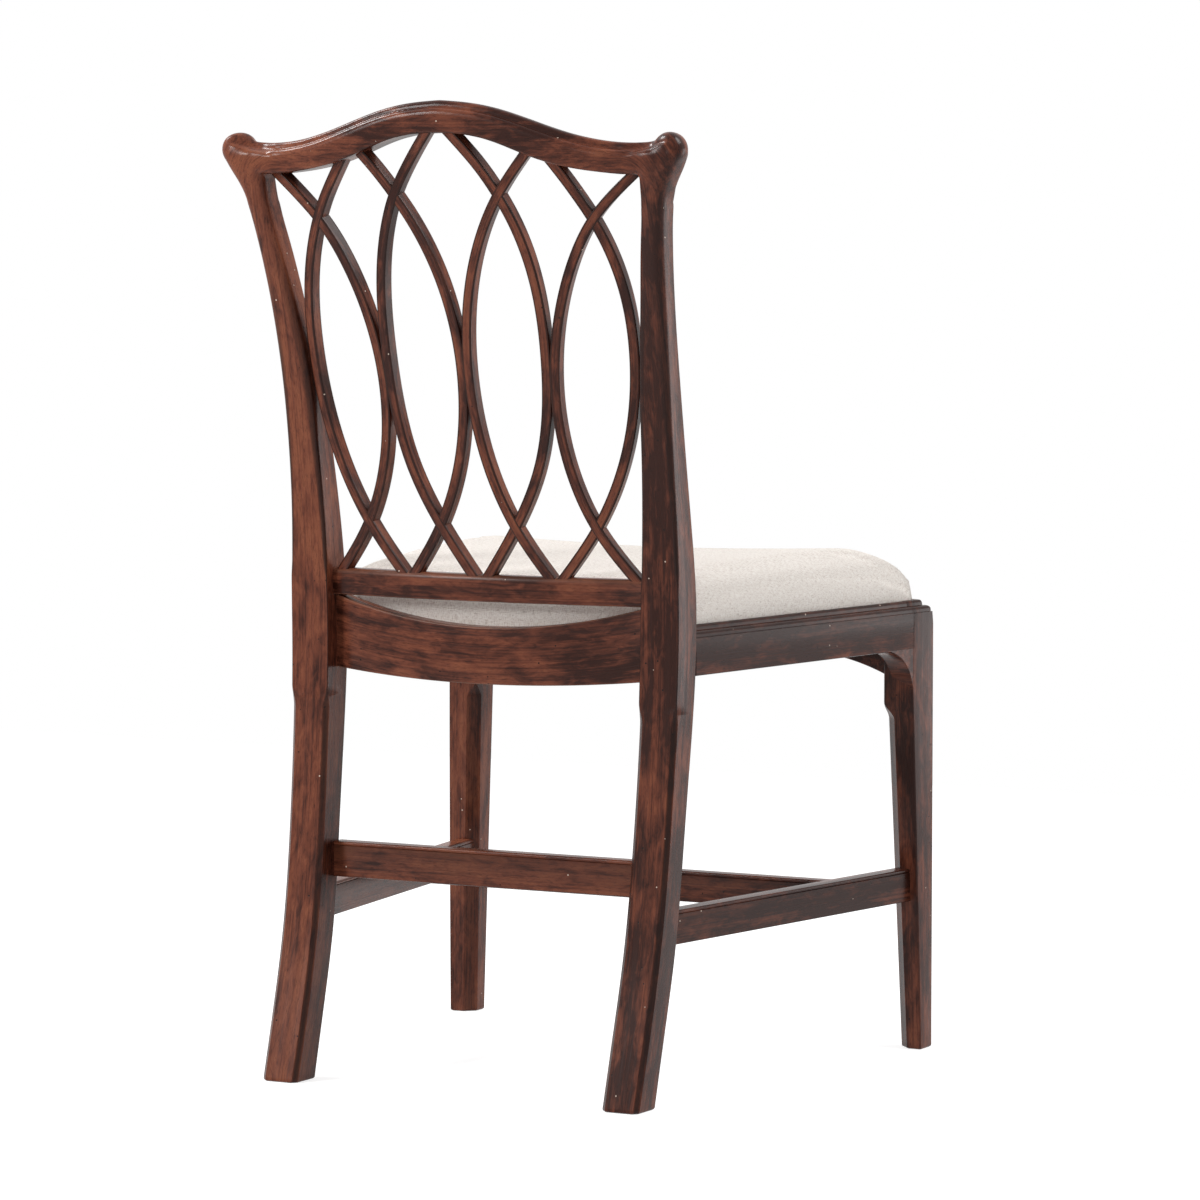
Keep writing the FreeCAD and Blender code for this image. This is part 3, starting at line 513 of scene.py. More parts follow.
# Scattered specks: cells per metre, radius as a part of a cell, share of cells
PITS = (70.0, 0.075, 0.4)
CHIPS = (60.0, 0.055, 0.45)
WOOD_RELIEF = 0.0004
WOOD_DARK = (0.036, 0.0098, 0.0060)
WOOD_BROWN = (0.088, 0.0250, 0.0145)
WOOD_RED = (0.170, 0.0490, 0.0265)
WOOD_ORANGE = (0.235, 0.0740, 0.0375)
WOOD_WORN = (0.34, 0.16, 0.10)
# Colour of pores and pits, also used for the painted shade on edges
PIT_AND_EDGE_SHADE_COLOUR = (0.010, 0.004, 0.003)
CHIP_COLOUR = (0.70, 0.56, 0.46)
FIGURE_COLOURS = [(0.435, WOOD_DARK), (0.48, WOOD_BROWN), (0.535, WOOD_RED), (0.60, WOOD_ORANGE)]
# Pale wood of the hidden pieces
RAW_COLOURS = [(0.3, (0.33, 0.20, 0.11)), (0.55, (0.47, 0.32, 0.19)), (0.75, (0.56, 0.41, 0.26))]
RAW_FIBRE = (0.24, 0.14, 0.08)
STEEL_COLOURS = [(0.35, (0.30, 0.28, 0.25)), (0.6, (0.55, 0.53, 0.50))]
# Linen
GREY_YARN_AND_WEAVE_SHADE = (0.58, 0.51, 0.46)
YARN_BEIGE = (0.82, 0.75, 0.69)
YARN_CREAM = (0.91, 0.86, 0.80)
YARN_WHITE = (0.95, 0.92, 0.88)
YARN_COLOURS = [(0.40, GREY_YARN_AND_WEAVE_SHADE), (0.47, YARN_BEIGE), (0.54, YARN_CREAM), (0.62, YARN_WHITE)]
LINEN_PITCH = 0.0013
LINEN_WANDER = 0.0007
LINEN_RELIEF = 0.0007


def specks(tree, vector, per_metre, radius, share):
    """1 inside scattered round specks, and 0 elsewhere."""
    place = scaled(tree, vector, (per_metre,) * 3)
    cells = add(tree, "ShaderNodeTexVoronoi", {"Vector": place, "Scale": 1.0})
    inside = span(tree, cells.outputs["Distance"], radius * 0.7, radius, 1.0, 0.0)
    lot = add(tree, "ShaderNodeSeparateColor", {0: cells.outputs["Color"]}).outputs[0]
    return math_node(tree, "MULTIPLY", inside, math_node(tree, "LESS_THAN", lot, share))


def mahogany():
    """Dark stained, waxed mahogany: figure along the grain, pores, pits, chips, worn edges, painted
    shade on edges and painted side light.
    """
    material, tree, shader = new_material("mahogany")
    grain = attribute(tree, "grain", "Vector")
    streak = noise(tree, grain, STREAKS, 5.0, 0.6, 0.5)
    fibre = noise(tree, grain, FIBRES, 3.0, 0.6, 0.3)
    cloud = noise(tree, grain, CLOUDS, 3.0, 0.55, 0.8)
    mottle = noise(tree, grain, MOTTLES, 3.0, 0.6, 0.8)
    pore = noise(tree, grain, PORES, 1.0)
    figure = attribute(tree, "tone_and_side_light", "Fac")
    layers = [(streak, STREAK_SHARE), (cloud, CLOUD_SHARE)]
    layers += [(mottle, MOTTLE_SHARE), (fibre, FIBRE_SHARE)]
    for layer, share in layers:
        figure = math_node(tree, "ADD", figure, math_node(tree, "MULTIPLY", layer, share))
    colour = ramp(tree, figure, FIGURE_COLOURS)
    colour = mix(tree, span(tree, fibre, 0.44, 0.34, 0.0, 0.4), colour, WOOD_DARK)
    colour = mix(tree, span(tree, pore, 0.60, 0.70, 0.0, 0.7), colour, PIT_AND_EDGE_SHADE_COLOUR)

    patchy = span(tree, cloud, 0.36, 0.60, 0.6, 1.0)
    edge = math_node(tree, "MULTIPLY", attribute(tree, "edge_wear_and_shade", "Fac"), patchy)
    colour = mix(tree, span(tree, edge, 0.0, 1.0, 0.0, 0.45), colour, WOOD_WORN)
    # Painted shade: eased edges, beads and quirks darkened where the stored edge value is below 0
    colour = mix(tree, span(tree, edge, 0.0, -1.0, 0.0, 0.85), colour, PIT_AND_EDGE_SHADE_COLOUR)

    pit = specks(tree, grain, *PITS)
    chip = specks(tree, grain, *CHIPS)
    colour = mix(tree, pit, colour, PIT_AND_EDGE_SHADE_COLOUR)
    colour = mix(tree, chip, colour, CHIP_COLOUR)

    waves = math_node(tree, "MULTIPLY_ADD", streak, 0.5, math_node(tree, "MULTIPLY", pit, -1.2))
    relief = math_node(tree, "MULTIPLY_ADD", fibre, 0.25, waves)
    feed(tree, shader, {
        "Base Color": colour,
        "Roughness": span(tree, cloud, 0.35, 0.65, 0.50, 0.36),
        "Specular IOR Level": 0.0,
        "Normal": bump(tree, relief, WOOD_RELIEF, 0.6),
        "Coat Weight": 0.75,
        "Coat IOR": 1.3,
        "Coat Roughness": span(tree, streak, 0.35, 0.65, 0.30, 0.20),
        "Coat Normal": bump(tree, waves, WOOD_RELIEF, 0.15),
    })
    return material


def plain_wood():
    """Unfinished pale wood of the hidden blocks and the seat frame."""
    material, tree, shader = new_material("plain_wood")
    place = add(tree, "ShaderNodeTexCoord").outputs["Object"]
    streak = noise(tree, place, (14.0, 90.0, 160.0), 5.0, 0.6, 0.4)
    fibre = noise(tree, place, (120.0, 900.0, 900.0), 2.0)
    colour = ramp(tree, streak, RAW_COLOURS)
    colour = mix(tree, span(tree, fibre, 0.4, 0.65, 0.25, 0.0), colour, RAW_FIBRE)
    rough = span(tree, fibre, 0.3, 0.7, 0.75, 0.6)
    feed(tree, shader, {"Base Color": colour, "Roughness": rough, "Normal": bump(tree, fibre, 0.0003)})
    return material


def screw_steel():
    """Tarnished steel of the hidden screws."""
    material, tree, shader = new_material("screw_steel")
    place = add(tree, "ShaderNodeTexCoord").outputs["Object"]
    tarnish = noise(tree, place, (300.0, 300.0, 300.0), 4.0)
    colour = ramp(tree, tarnish, STEEL_COLOURS)
    rough = span(tree, tarnish, 0.3, 0.7, 0.55, 0.3)
    feed(tree, shader, {"Base Color": colour, "Metallic": 1.0, "Roughness": rough})
    return material


def threads(tree, vector, pitch, wander):
    """Heights of two crossing sets of threads, with so many metres between threads."""
    uneven = scaled(tree, vector, (180.0, 180.0, 180.0))
    moved = add(tree, "ShaderNodeTexNoise", {"Vector": uneven, "Scale": 1.0})
    offset = scaled(tree, moved.outputs["Color"], (wander, wander, wander))
    place = add(tree, "ShaderNodeVectorMath", {0: vector, 1: offset}, operation="ADD").outputs[0]
    sets = []
    for direction in ("X", "Y"):
        inputs = {"Vector": place, "Scale": 2 * math.pi / (20 * pitch)}
        sets.append(add(tree, "ShaderNodeTexWave", inputs, bands_direction=direction).outputs["Fac"])
    return math_node(tree, "MAXIMUM", *sets)


def linen():
    """Heathered beige linen: uneven warp and weft, pale and grey yarns, a soft fuzz, and painted shade
    between the threads.
    """
    material, tree, shader = new_material("linen")
    weave = attribute(tree, "weave", "Vector")
    warp = noise(tree, weave, (1100.0, 160.0, 1.0), 3.0, 0.65)
    weft = noise(tree, weave, (160.0, 1100.0, 1.0), 3.0, 0.65)
    yarn = math_node(tree, "MULTIPLY_ADD", warp, 0.5, math_node(tree, "MULTIPLY", weft, 0.5))
    height = threads(tree, weave, LINEN_PITCH, LINEN_WANDER)
    colour = ramp(tree, yarn, YARN_COLOURS)
    # Painted shade: grey where the threads lie low between the crossings
    colour = mix(tree, span(tree, height, 0.25, 0.7, 0.22, 0.0), colour, GREY_YARN_AND_WEAVE_SHADE)
    relief = math_node(tree, "MULTIPLY_ADD", height, 0.6, yarn)
    feed(tree, shader, {
        "Base Color": colour,
        "Roughness": 0.92,
        "Specular IOR Level": 0.15,
        "Sheen Weight": 0.25,
        "Sheen Roughness": 0.5,
        "Normal": bump(tree, relief, LINEN_RELIEF, 0.7),
    })
    return material


def woven(name, dark, pale, pitch):
    """Plain woven cloth for the underside of the seat, with painted shade between its threads."""
    material, tree, shader = new_material(name)
    place = add(tree, "ShaderNodeTexCoord").outputs["Object"]
    height = threads(tree, place, pitch, pitch * 0.4)
    wear = noise(tree, place, (40.0, 40.0, 40.0), 3.0)
    # Painted shade: the thread tops pale and the hollows between them dark
    colour = mix(tree, height, dark, pale)
    colour = mix(tree, span(tree, wear, 0.35, 0.65, 0.25, 0.0), colour, dark)
    feed(tree, shader, {"Base Color": colour, "Roughness": 0.9, "Normal": bump(tree, height, 0.0004)})
    return material


MATERIALS = {
    "mahogany": mahogany(),
    "plain_wood": plain_wood(),
    "screw_steel": screw_steel(),
    "linen": linen(),
    "webbing": woven("webbing", (0.22, 0.16, 0.09), (0.46, 0.37, 0.24), 0.0022),
    "dust_cloth": woven("dust_cloth", (0.008, 0.008, 0.009), (0.03, 0.03, 0.032), 0.0012),
}


def shrunk(ring, amount):
    """A level ring drawn in towards its middle."""
    away = ring - ring.mean(axis=0)
    away[:, 2] = 0
    length = np.linalg.norm(away, axis=1, keepdims=True)
    return ring - away / length * amount


def eased_foot(ring, z):
    """A leg's ring, drawn in where the edge of the foot is rounded."""
    if z >= FOOT_EASE:
        return ring
    return shrunk(ring, (1 - math.sqrt(1 - (1 - z / FOOT_EASE) ** 2)) * FOOT_EASE)


# Rear legs

post_at = natural_curve(POST)


def post_ring(z):
    """Section of the left rear leg at a height."""
    outer, inner, back, front = post_at(z)
    heights, reaches, rounds = np.array(POST_CORNERS, float).T
    reach = np.interp(z, heights, reaches)
    roundness = np.interp(z, heights, rounds)
    corners = [(inner, front), (outer, front), (outer, back), (inner, back)]
    ease = POST_FRONT_EASE
    plan, edge_wear_and_shade = cut_corners(corners, [ease, ease, reach, reach], [1, 1, roundness, roundness], 6)
    return np.column_stack([plan, np.full(len(plan), z)]), edge_wear_and_shade


def rear_legs():
    """Swept legs and posts; above the seam they run on inside the crest's end."""
    heights = [*FOOT_RINGS, *np.linspace(14, 370, 30), *np.linspace(374, 398, 9)]
    heights += [*np.linspace(410, 500, 8), *np.linspace(504, 526, 9), *np.linspace(536, POST_SEAM, 38)]
    rings = []
    for z in heights:
        ring, edge_wear_and_shade = post_ring(z)
        rings.append(eased_foot(ring, z))
    for z in (POST_SEAM + 0.6, POST_TOP):
        ring, edge_wear_and_shade = post_ring(z)
        rings.append(shrunk(ring, POST_STUB_INSET))
    # Painted shade darkens the legs' rounded corners, fading out towards the crest
    fading = 1 - smoothstep(np.array(rings)[:, :1, 2], 700, POST_SEAM - 10)
    wooden_pair("rear_leg", rings, np.sqrt(edge_wear_and_shade) * EDGE_SHADE * fading, turned_grain)


# Front legs, seat rails and brackets

SIDE_START = np.array([FRONT_HALF, FRONT_Y])
SIDE_REACH = np.array([REAR_HALF - FRONT_HALF, REAR_LEG_FRONT_Y - FRONT_Y])
SIDE_LENGTH = float(np.linalg.norm(SIDE_REACH))
SIDE_RUN = SIDE_REACH / SIDE_LENGTH
SIDE_INWARD = np.array([-SIDE_RUN[1], SIDE_RUN[0]])


def side_point(inset, along, z):
    """Point beside the left side rail, inset from its outer face."""
    x, y = SIDE_START + SIDE_INWARD * inset + SIDE_RUN * along
    return x, y, z


def side_x(inset, y):
    """X of the line inset from the left side rail's outer face."""
    start = SIDE_START + SIDE_INWARD * inset
    return start[0] + SIDE_RUN[0] / SIDE_RUN[1] * (y - start[1])


def moulded_edge():
    """Upper outer edge of a seat rail, from its face to the top of the lip: inset and height."""
    edge = [(0, FACE_TOP), (1.3, FACE_TOP + 0.4)]
    edge += bezier(edge[-1], (0.6, BEAD_TOP), (BEAD_WIDTH - 1.4, BEAD_TOP), 7)
    edge += [(BEAD_WIDTH, BEAD_TOP + 0.3)]
    edge += bezier(edge[-1], (BEAD_WIDTH, LIP_TOP), ((BEAD_WIDTH + LIP_INSET) / 2, LIP_TOP), 5)
    return edge


def rail_profile():
    """Section of a rebated seat rail, and the painted shade on its moulded edge and lower edge."""
    edge = moulded_edge()
    lip = bezier(edge[-1], (LIP_INSET, LIP_TOP), (LIP_INSET, LIP_TOP - 3), 4)
    cut = RAIL_EASE * 0.3
    profile = [(RAIL_EASE, RAIL_BOTTOM), (cut, RAIL_BOTTOM + cut), (0, RAIL_BOTTOM + RAIL_EASE)]
    profile += edge + lip + [(LIP_INSET, LEDGE), (RAIL_THICKNESS, LEDGE), (RAIL_THICKNESS, RAIL_BOTTOM)]
    profile = np.array(profile)
    # Painted shade over the moulded bead and the lower eased corner
    edge_shade = np.where((profile[:, 1] > FACE_TOP - 0.1) & (profile[:, 0] < LIP_INSET), BEAD_SHADE, 0.0)
    edge_shade[1] = BEAD_SHADE
    return profile, edge_shade


def side_rails():
    profile, edge_shade = rail_profile()
    rings = []
    for along in np.linspace(LEG_DEPTH - LET_IN, SIDE_LENGTH + LET_IN, 24):
        rings.append([side_point(inset, along, z) for inset, z in profile])
    wooden_pair("side_seat_rail", rings, edge_shade, tone_and_side_light=RAIL_DARKENING)


def front_rail():
    profile, edge_shade = rail_profile()
    half = FRONT_HALF - LEG_WIDTH
    rings = []
    for x in np.linspace(-half - 1, half + 1, 41):
        dip = FRONT_DIP * (1 - (x / half) ** 2)
        rings.append([(x, FRONT_Y + inset, z - dip) for inset, z in profile])
    wooden("front_seat_rail", rings, edge_shade, tone_and_side_light=RAIL_DARKENING)


def front_leg_rings():
    """Left front leg from the floor to the top of its moulded head."""
    heights = [*FOOT_RINGS, *np.linspace(20, 340, 16)]
    heights += [*np.linspace(344, 366, 12), *np.linspace(385, 445, 4)]
    levels = [(z, 0.0) for z in heights]
    levels += [(z, inset) for inset, z in moulded_edge()]
    rings = []
    for z, inset in levels:
        growth = min(z / CHAMFER_STOP[1], 1.0)
        width = FOOT_SIZE + (LEG_WIDTH - FOOT_SIZE) * growth
        depth = FOOT_SIZE + (LEG_DEPTH - FOOT_SIZE) * growth
        turn = (FRONT_HALF - side_x(0, FRONT_Y + depth)) * growth
        inner, outer = FRONT_HALF - width, FRONT_HALF - inset
        front, back = FRONT_Y + inset, FRONT_Y + depth
        corners = [(inner, front), (outer, front), (outer - turn, back), (inner, back)]
        chamfer = LEG_CHAMFER - (LEG_CHAMFER - 1.0) * float(smoothstep(z, *CHAMFER_STOP))
        outer_ease = LEG_EASE if z < FACE_TOP - 1 else 5.0 + inset * 0.3
        reaches = [1.5, outer_ease, 1.6 if z < RAIL_BOTTOM - SIDE_BRACKET else 0.4, chamfer]
        plan, edge_wear_and_shade = cut_corners(corners, reaches, [1, 1, 1, 0.0], 5)
        ring = np.column_stack([plan, np.full(len(plan), z)])
        rings.append(eased_foot(ring, z))
    return rings, edge_wear_and_shade


def seat_pocket(sign):
    """Block that cuts the seat's rebate out of a front leg's head."""
    front = FRONT_Y + LIP_INSET
    back = front + POCKET_LENGTH
    plan = [(POCKET_INNER, front), (side_x(LIP_INSET, front), front)]
    plan += [(side_x(LIP_INSET, back), back), (POCKET_INNER, back)]
    points = [(x * sign, y, z) for z in (LEDGE, LIP_TOP + 20) for x, y in plan]
    return new_piece("seat_pocket", new_mesh("seat_pocket", points, ring_faces(2, 4)))


def front_legs():
    rings, edge_wear_and_shade = front_leg_rings()
    heights = np.array(rings)[:, :1, 2]
    # Painted shade on the legs' corners and chamfer, darker on the moulded head
    edge_shade = np.minimum(edge_wear_and_shade * EDGE_SHADE * 0.5, np.where(heights > FACE_TOP - 0.1, BEAD_SHADE, 0.0))
    # Front legs drawn darker towards the seat rails
    tone_and_side_light = RAIL_DARKENING * smoothstep(heights, 250, RAIL_BOTTOM)
    for piece, (_, sign) in zip(wooden_pair("front_leg", rings, edge_shade, tone_and_side_light=tone_and_side_light), SIDES):
        pocket = seat_pocket(sign)
        cut = piece.modifiers.new("pocket", "BOOLEAN")
        cut.object = pocket
        cut.solver = "EXACT"
        apply_modifiers(piece)
        bpy.data.objects.remove(pocket)
        shade(piece.data)


def bracket_rings(arc, place):
    """Bracket over an arc of (along, drop); place gives the point at an along, a drop and an inset."""
    (size, _), (_, depth) = arc[0], arc[-1]
    inner = BRACKET_THICKNESS
    rings = []
    for inset, ease in ((0.1, 0.7), (0.9, 0.0), (inner - 0.8, 0.0), (inner, 0.7)):
        outline = [(along - ease * 0.7, drop - ease * 0.7) for along, drop in arc]
        outline += [(-LET_IN, depth - 1), (-LET_IN, -LET_IN), (size, -LET_IN)]
        rings.append([place(along, drop, inset) for along, drop in outline])
    return rings


def brackets():
    half = FRONT_HALF - LEG_WIDTH
    angles = np.linspace(0, math.pi / 2, 17)
    quarter = [(SIDE_BRACKET * (1 - math.sin(a)), SIDE_BRACKET * (1 - math.cos(a))) for a in angles]
    knee = [(FRONT_BRACKET * (1 - t), FRONT_BRACKET_DROP * t ** 2) for t in np.linspace(0, 1, 17)]

    def side_place(along, drop, inset):
        return side_point(inset + 0.05, LEG_DEPTH + along, RAIL_BOTTOM - drop)

    def front_place(along, drop, inset):
        dip = FRONT_DIP * (1 - ((half - max(along, 0)) / half) ** 2)
        return half - along, FRONT_Y + inset + 0.05, RAIL_BOTTOM - drop - dip

    wooden_pair("side_bracket", bracket_rings(quarter, side_place), 0.0, tone_and_side_light=RAIL_DARKENING)
    wooden_pair("front_bracket", bracket_rings(knee, front_place), 0.0, tone_and_side_light=RAIL_DARKENING)


# Back


def circle_through(first, second, third):
    """Centre and radius of the circle through three points of a plane."""
    system = 2 * (np.array([second, third]) - np.array([first, first]))
    right = [np.dot(point, point) - np.dot(first, first) for point in (second, third)]
    centre = np.linalg.solve(system, right)
    return centre, float(np.linalg.norm(np.array(first) - centre))


BACK_CENTRE, BACK_RADIUS = circle_through(*BACK_ARC)
BACK_SIDE = -1 if BACK_CENTRE[0] > BACK_ARC[0][0] else 1
BOW_AXIS_Y = BACK_ARC[0][0] - BOW_RADIUS


def back_y(x, z):
    """Back surface of the trellis: an upright arc swept round the bow's axis."""
    middle = BACK_CENTRE[0] + BACK_SIDE * math.sqrt(BACK_RADIUS ** 2 - (z - BACK_CENTRE[1]) ** 2)
    return BOW_AXIS_Y + math.sqrt((middle - BOW_AXIS_Y) ** 2 - x ** 2)


def bowed(back, x, depth=0.0):
    """Y of a bowed rail whose back passes through (0, back)."""
    return BOW_AXIS_Y + math.sqrt((back - depth - BOW_AXIS_Y) ** 2 - x ** 2)


def bar_section():
    """Section of a bar, and its painted shade: full on the eased edges, none on the flats."""
    half = BAR_WIDTH / 2
    steps = 3
    corners = [(-half, 0), (half, 0), (half, -BAR_DEPTH), (-half, -BAR_DEPTH)]
    groups = cut_corners(corners, [BAR_EASE] * 4, [1] * 4, steps)[0].reshape(4, steps + 1, 2)
    plan, edge_shade = [], []
    for i, group in enumerate(groups):
        following = groups[(i + 1) % 4][0]
        step = (following - group[-1]) * (SHADE_FADE / np.linalg.norm(following - group[-1]))
        plan += [*group, group[-1] + step, following - step]
        edge_shade += [EDGE_SHADE] * (steps + 1) + [0.0, 0.0]
    return plan, np.array(edge_shade)


def bar_rings(points, sink):
    """Bar along a line drawn on the back surface."""
    points = np.array(points, float)
    steps = np.linalg.norm(np.diff(points, axis=0), axis=1)
    length = np.concatenate([[0.0], np.cumsum(steps)])
    line = natural_curve(np.column_stack([length, points]))
    samples = [line(at) for at in np.linspace(0, length[-1], 110)]
    path = np.array([(x, back_y(x, z), z) for x, z in samples])
    runs = np.gradient(path, axis=0)
    plan, edge_shade = bar_section()
    rings = []
    for place, run in zip(path, runs):
        x, _, z = place
        slope = (back_y(x, z + 1) - back_y(x, z - 1)) / 2
        outward = np.array([x / BOW_RADIUS, 1.0, -slope])
        run = run / np.linalg.norm(run)
        outward -= run * np.dot(outward, run)
        outward /= np.linalg.norm(outward)
        across = np.cross(run, outward)
        deep = sink + BAR_TUCK * float(smoothstep(z, 880, 930))
        rings.append([place + across * a + outward * (b - deep) for a, b in plan])
    return np.array(rings), edge_shade


def trellis():
    """Eight bars; every second one lies a hair deeper, which draws the lap joints."""
    lines = BARS + [[(-x, z) for x, z in line] for line in reversed(BARS)]
    for index, line in enumerate(lines):
        rings, edge_shade = bar_rings(line, LAP_STEP * (index % 2))
        wooden(f"trellis_bar_{index + 1}", rings, edge_shade)


def shoe_rail():
    low, high = SHOE_Z
    corners = [(SHOE_DEPTH, low), (0, low), (0, high), (SHOE_DEPTH, high)]
    profile, edge_wear_and_shade = cut_corners(corners, [1.5, 1.5, SHOE_ROUND, SHOE_ROUND], [1] * 4, 6)
    rings = []
    for x in np.linspace(-POST_INNER - LET_IN, POST_INNER + LET_IN, 49):
        rings.append([(x, bowed(SHOE_BACK_Y, x, depth), z) for depth, z in profile])
    wooden("shoe_rail", rings, edge_wear_and_shade * 0.6)


def rear_rail():
    rings = []
    for x in np.linspace(-POST_INNER - LET_IN, POST_INNER + LET_IN, 61):
        share = (x / POST_INNER) ** 2
        low = REAR_RAIL_BOTTOM[0] + (REAR_RAIL_BOTTOM[1] - REAR_RAIL_BOTTOM[0]) * share
        high = REAR_RAIL_TOP[0] + (REAR_RAIL_TOP[1] - REAR_RAIL_TOP[0]) * share
        corners = [(REAR_RAIL_DEPTH, low), (0, low), (0, high), (REAR_RAIL_DEPTH, high)]
        profile, edge_wear_and_shade = cut_corners(corners, [1.5] * 4, [1] * 4, 4)
        rings.append([(x, bowed(REAR_RAIL_BACK_Y, x, depth), z) for depth, z in profile])
    wooden("rear_seat_rail", rings, edge_wear_and_shade)


crest_at = natural_curve(CREST)


def crest_ring(x):
    """Crest section: flat back, rounded shoulder, crease and rolled upper edge."""
    bottom, top = crest_at(abs(x))
    bow = BOW_RADIUS - math.sqrt(BOW_RADIUS ** 2 - x ** 2)
    straight = CREST_BACK_Y - bow
    back = straight + (CREST_END_Y - straight) * float(smoothstep(abs(x), *CREST_SWEEP))
    shoulder = bottom + (top - bottom) * SHOULDER_SHARE
    crease = top - CREST_BEAD
    outline = [(CREST_DEPTH - CREST_FRONT_EASE, bottom), (CREST_EASE, bottom), (0.6, bottom + 0.6)]
    outline += [(0, bottom + CREST_EASE), (0, shoulder - 2)]
    outline += bezier((0, shoulder - 2), (0.6, crease - 0.3), (CREASE_DEPTH, crease), 8)
    outline += bezier((CREASE_DEPTH, crease), (CREASE_DEPTH + 0.4, top), (ROLL_DEPTH, top), 7)
    outline += bezier((ROLL_DEPTH, top), (CREST_DEPTH - 1, top), (CREST_DEPTH, crease - 5), 7)
    outline += [(CREST_DEPTH, bottom + CREST_FRONT_EASE), (CREST_DEPTH - 1, bottom + 1)]
    return [(x, back - depth + CREST_LEAN * (z - shoulder), z) for depth, z in outline]


def ball_points(centre, radii, turns=48):
    """Rings of a rounded ear with flattened faces, from below to above."""
    rings = []
    for tilt in np.linspace(-math.pi / 2 + 0.06, math.pi / 2 - 0.06, turns // 2):
        around = np.linspace(0, 2 * math.pi, turns, endpoint=False)
        x = centre[0] + radii[0] * np.cos(around) * math.cos(tilt)
        swell = np.abs(np.sin(around) * math.cos(tilt)) ** EAR_SQUARENESS
        y = centre[1] + radii[1] * np.sign(np.sin(around)) * swell
        z = np.full(turns, centre[2] + radii[2] * math.sin(tilt))
        rings.append(np.column_stack([x, y, z]))
    return np.array(rings)


def smoothed(points, edges, weight, passes):
    """Points drawn towards the middle of their neighbours, each by its own weight."""
    here, there = np.concatenate([edges, edges[:, ::-1]]).T
    count = np.bincount(here, minlength=len(points))
    for _ in range(passes):
        sums = [np.bincount(here, points[there, axis], len(points)) for axis in range(3)]
        points = points + (np.column_stack(sums) / count[:, None] - points) * weight[:, None]
    return points


def faired(points, edges, weight, passes):
    """Points smoothed and swollen back in turn, which takes ripples off and keeps the size."""
    for _ in range(passes):
        points = smoothed(points, edges, weight * 0.5, 1)
        points = smoothed(points, edges, weight * -0.53, 1)
    return points


def mesh_points(mesh):
    points = np.empty(len(mesh.vertices) * 3)
    mesh.vertices.foreach_get("co", points)
    return points.reshape(-1, 3)


def mesh_edges(mesh):
    edges = np.empty(len(mesh.edges) * 2, np.int32)
    mesh.edges.foreach_get("vertices", edges)
    return edges.reshape(-1, 2)


def ear_step(x, y, z):
    """How far the roll over an ear is set back behind the crease that crosses the ear."""
    height, start, slope = EAR_CREASE
    crease = height + slope * (x - start)
    reach = smoothstep(x, 196, 216) * (1 - smoothstep(x, 232, 255))
    rear = smoothstep(y, EAR[1] - 6, EAR[1] + 8)
    return EAR_STEP * reach * rear * smoothstep(z, crease - 2.5, crease + 1.5)


def crest_rail():
    """Crest, ears and post tops grown into one skin, smoothed where they meet."""
    parts = [np.array([crest_ring(x) for x in np.linspace(-CREST_HALF, CREST_HALF, 120)])]
    for _, sign in SIDES:
        post = np.array([post_ring(z)[0] for z in np.linspace(POST_SEAM - 6, POST[-1][0], 24)])
        parts.append(post * (sign, 1, 1))
        parts.append(ball_points(EAR, EAR_RADII) * (sign, 1, 1))
    points, faces = [], []
    for rings in parts:
        start = len(points)
        points += list(rings.reshape(-1, 3))
        faces += [tuple(start + i for i in face) for face in ring_faces(*rings.shape[:2])]
    piece = new_piece("crest_rail_wood", new_mesh("crest_rail_wood", points, faces))
    one_skin(piece, CREST_VOXEL)

    mesh = piece.data
    points = mesh_points(mesh)
    edges = mesh_edges(mesh)
    x, z = np.abs(points[:, 0]) / MM, points[:, 2] / MM
    ends = smoothstep(x, 190, 222) * smoothstep(z, POST_SEAM + 2, POST_SEAM + 9)
    points = smoothed(points, edges, ends * 0.5, 60)
    x, y, z = np.transpose(points / MM - (0, SHIFT_Y, 0))
    points[:, 1] -= MM * ear_step(np.abs(x), y, z)
    points = faired(points, edges, np.ones(len(points)), 25)
    mesh.vertices.foreach_set("co", points.ravel())

    skin = bmesh.new()
    skin.from_mesh(mesh)
    whole = skin.verts[:] + skin.edges[:] + skin.faces[:]
    seam = (0, 0, POST_SEAM * MM)
    bmesh.ops.bisect_plane(skin, geom=whole, plane_co=seam, plane_no=(0, 0, 1), clear_inner=True)
    open_edges = [edge for edge in skin.edges if edge.is_boundary]
    bmesh.ops.holes_fill(skin, edges=open_edges)
    skin.to_mesh(mesh)
    skin.free()
    thin = piece.modifiers.new("fewer_faces", "DECIMATE")
    thin.ratio = CREST_KEPT_FACES
    apply_modifiers(piece)

    mesh = piece.data
    points = mesh_points(mesh)
    above = smoothstep(points[:, 2] / MM, POST_SEAM + 1, POST_SEAM + 6)
    points = faired(points, mesh_edges(mesh), above, 8)
    mesh.vertices.foreach_set("co", points.ravel())
    put(mesh, "grain", "FLOAT_VECTOR", turned_grain(points / MM - (0, SHIFT_Y, 0)))
    put(mesh, "edge_wear_and_shade", "FLOAT", np.zeros(len(points)))
    # Painted side light: the crest drawn lighter towards its left end and darker towards its right
    put(mesh, "tone_and_side_light", "FLOAT", PAINTED_SIDE_LIGHT * np.clip(points[:, 0] / (EAR[0] * MM), -1, 1))
    mesh.shade_smooth()
    mesh.set_sharp_from_angle(angle=CREST_SHARP_ANGLE)
    dress(piece, "mahogany", "frame", "crest_rail")


# Stretchers


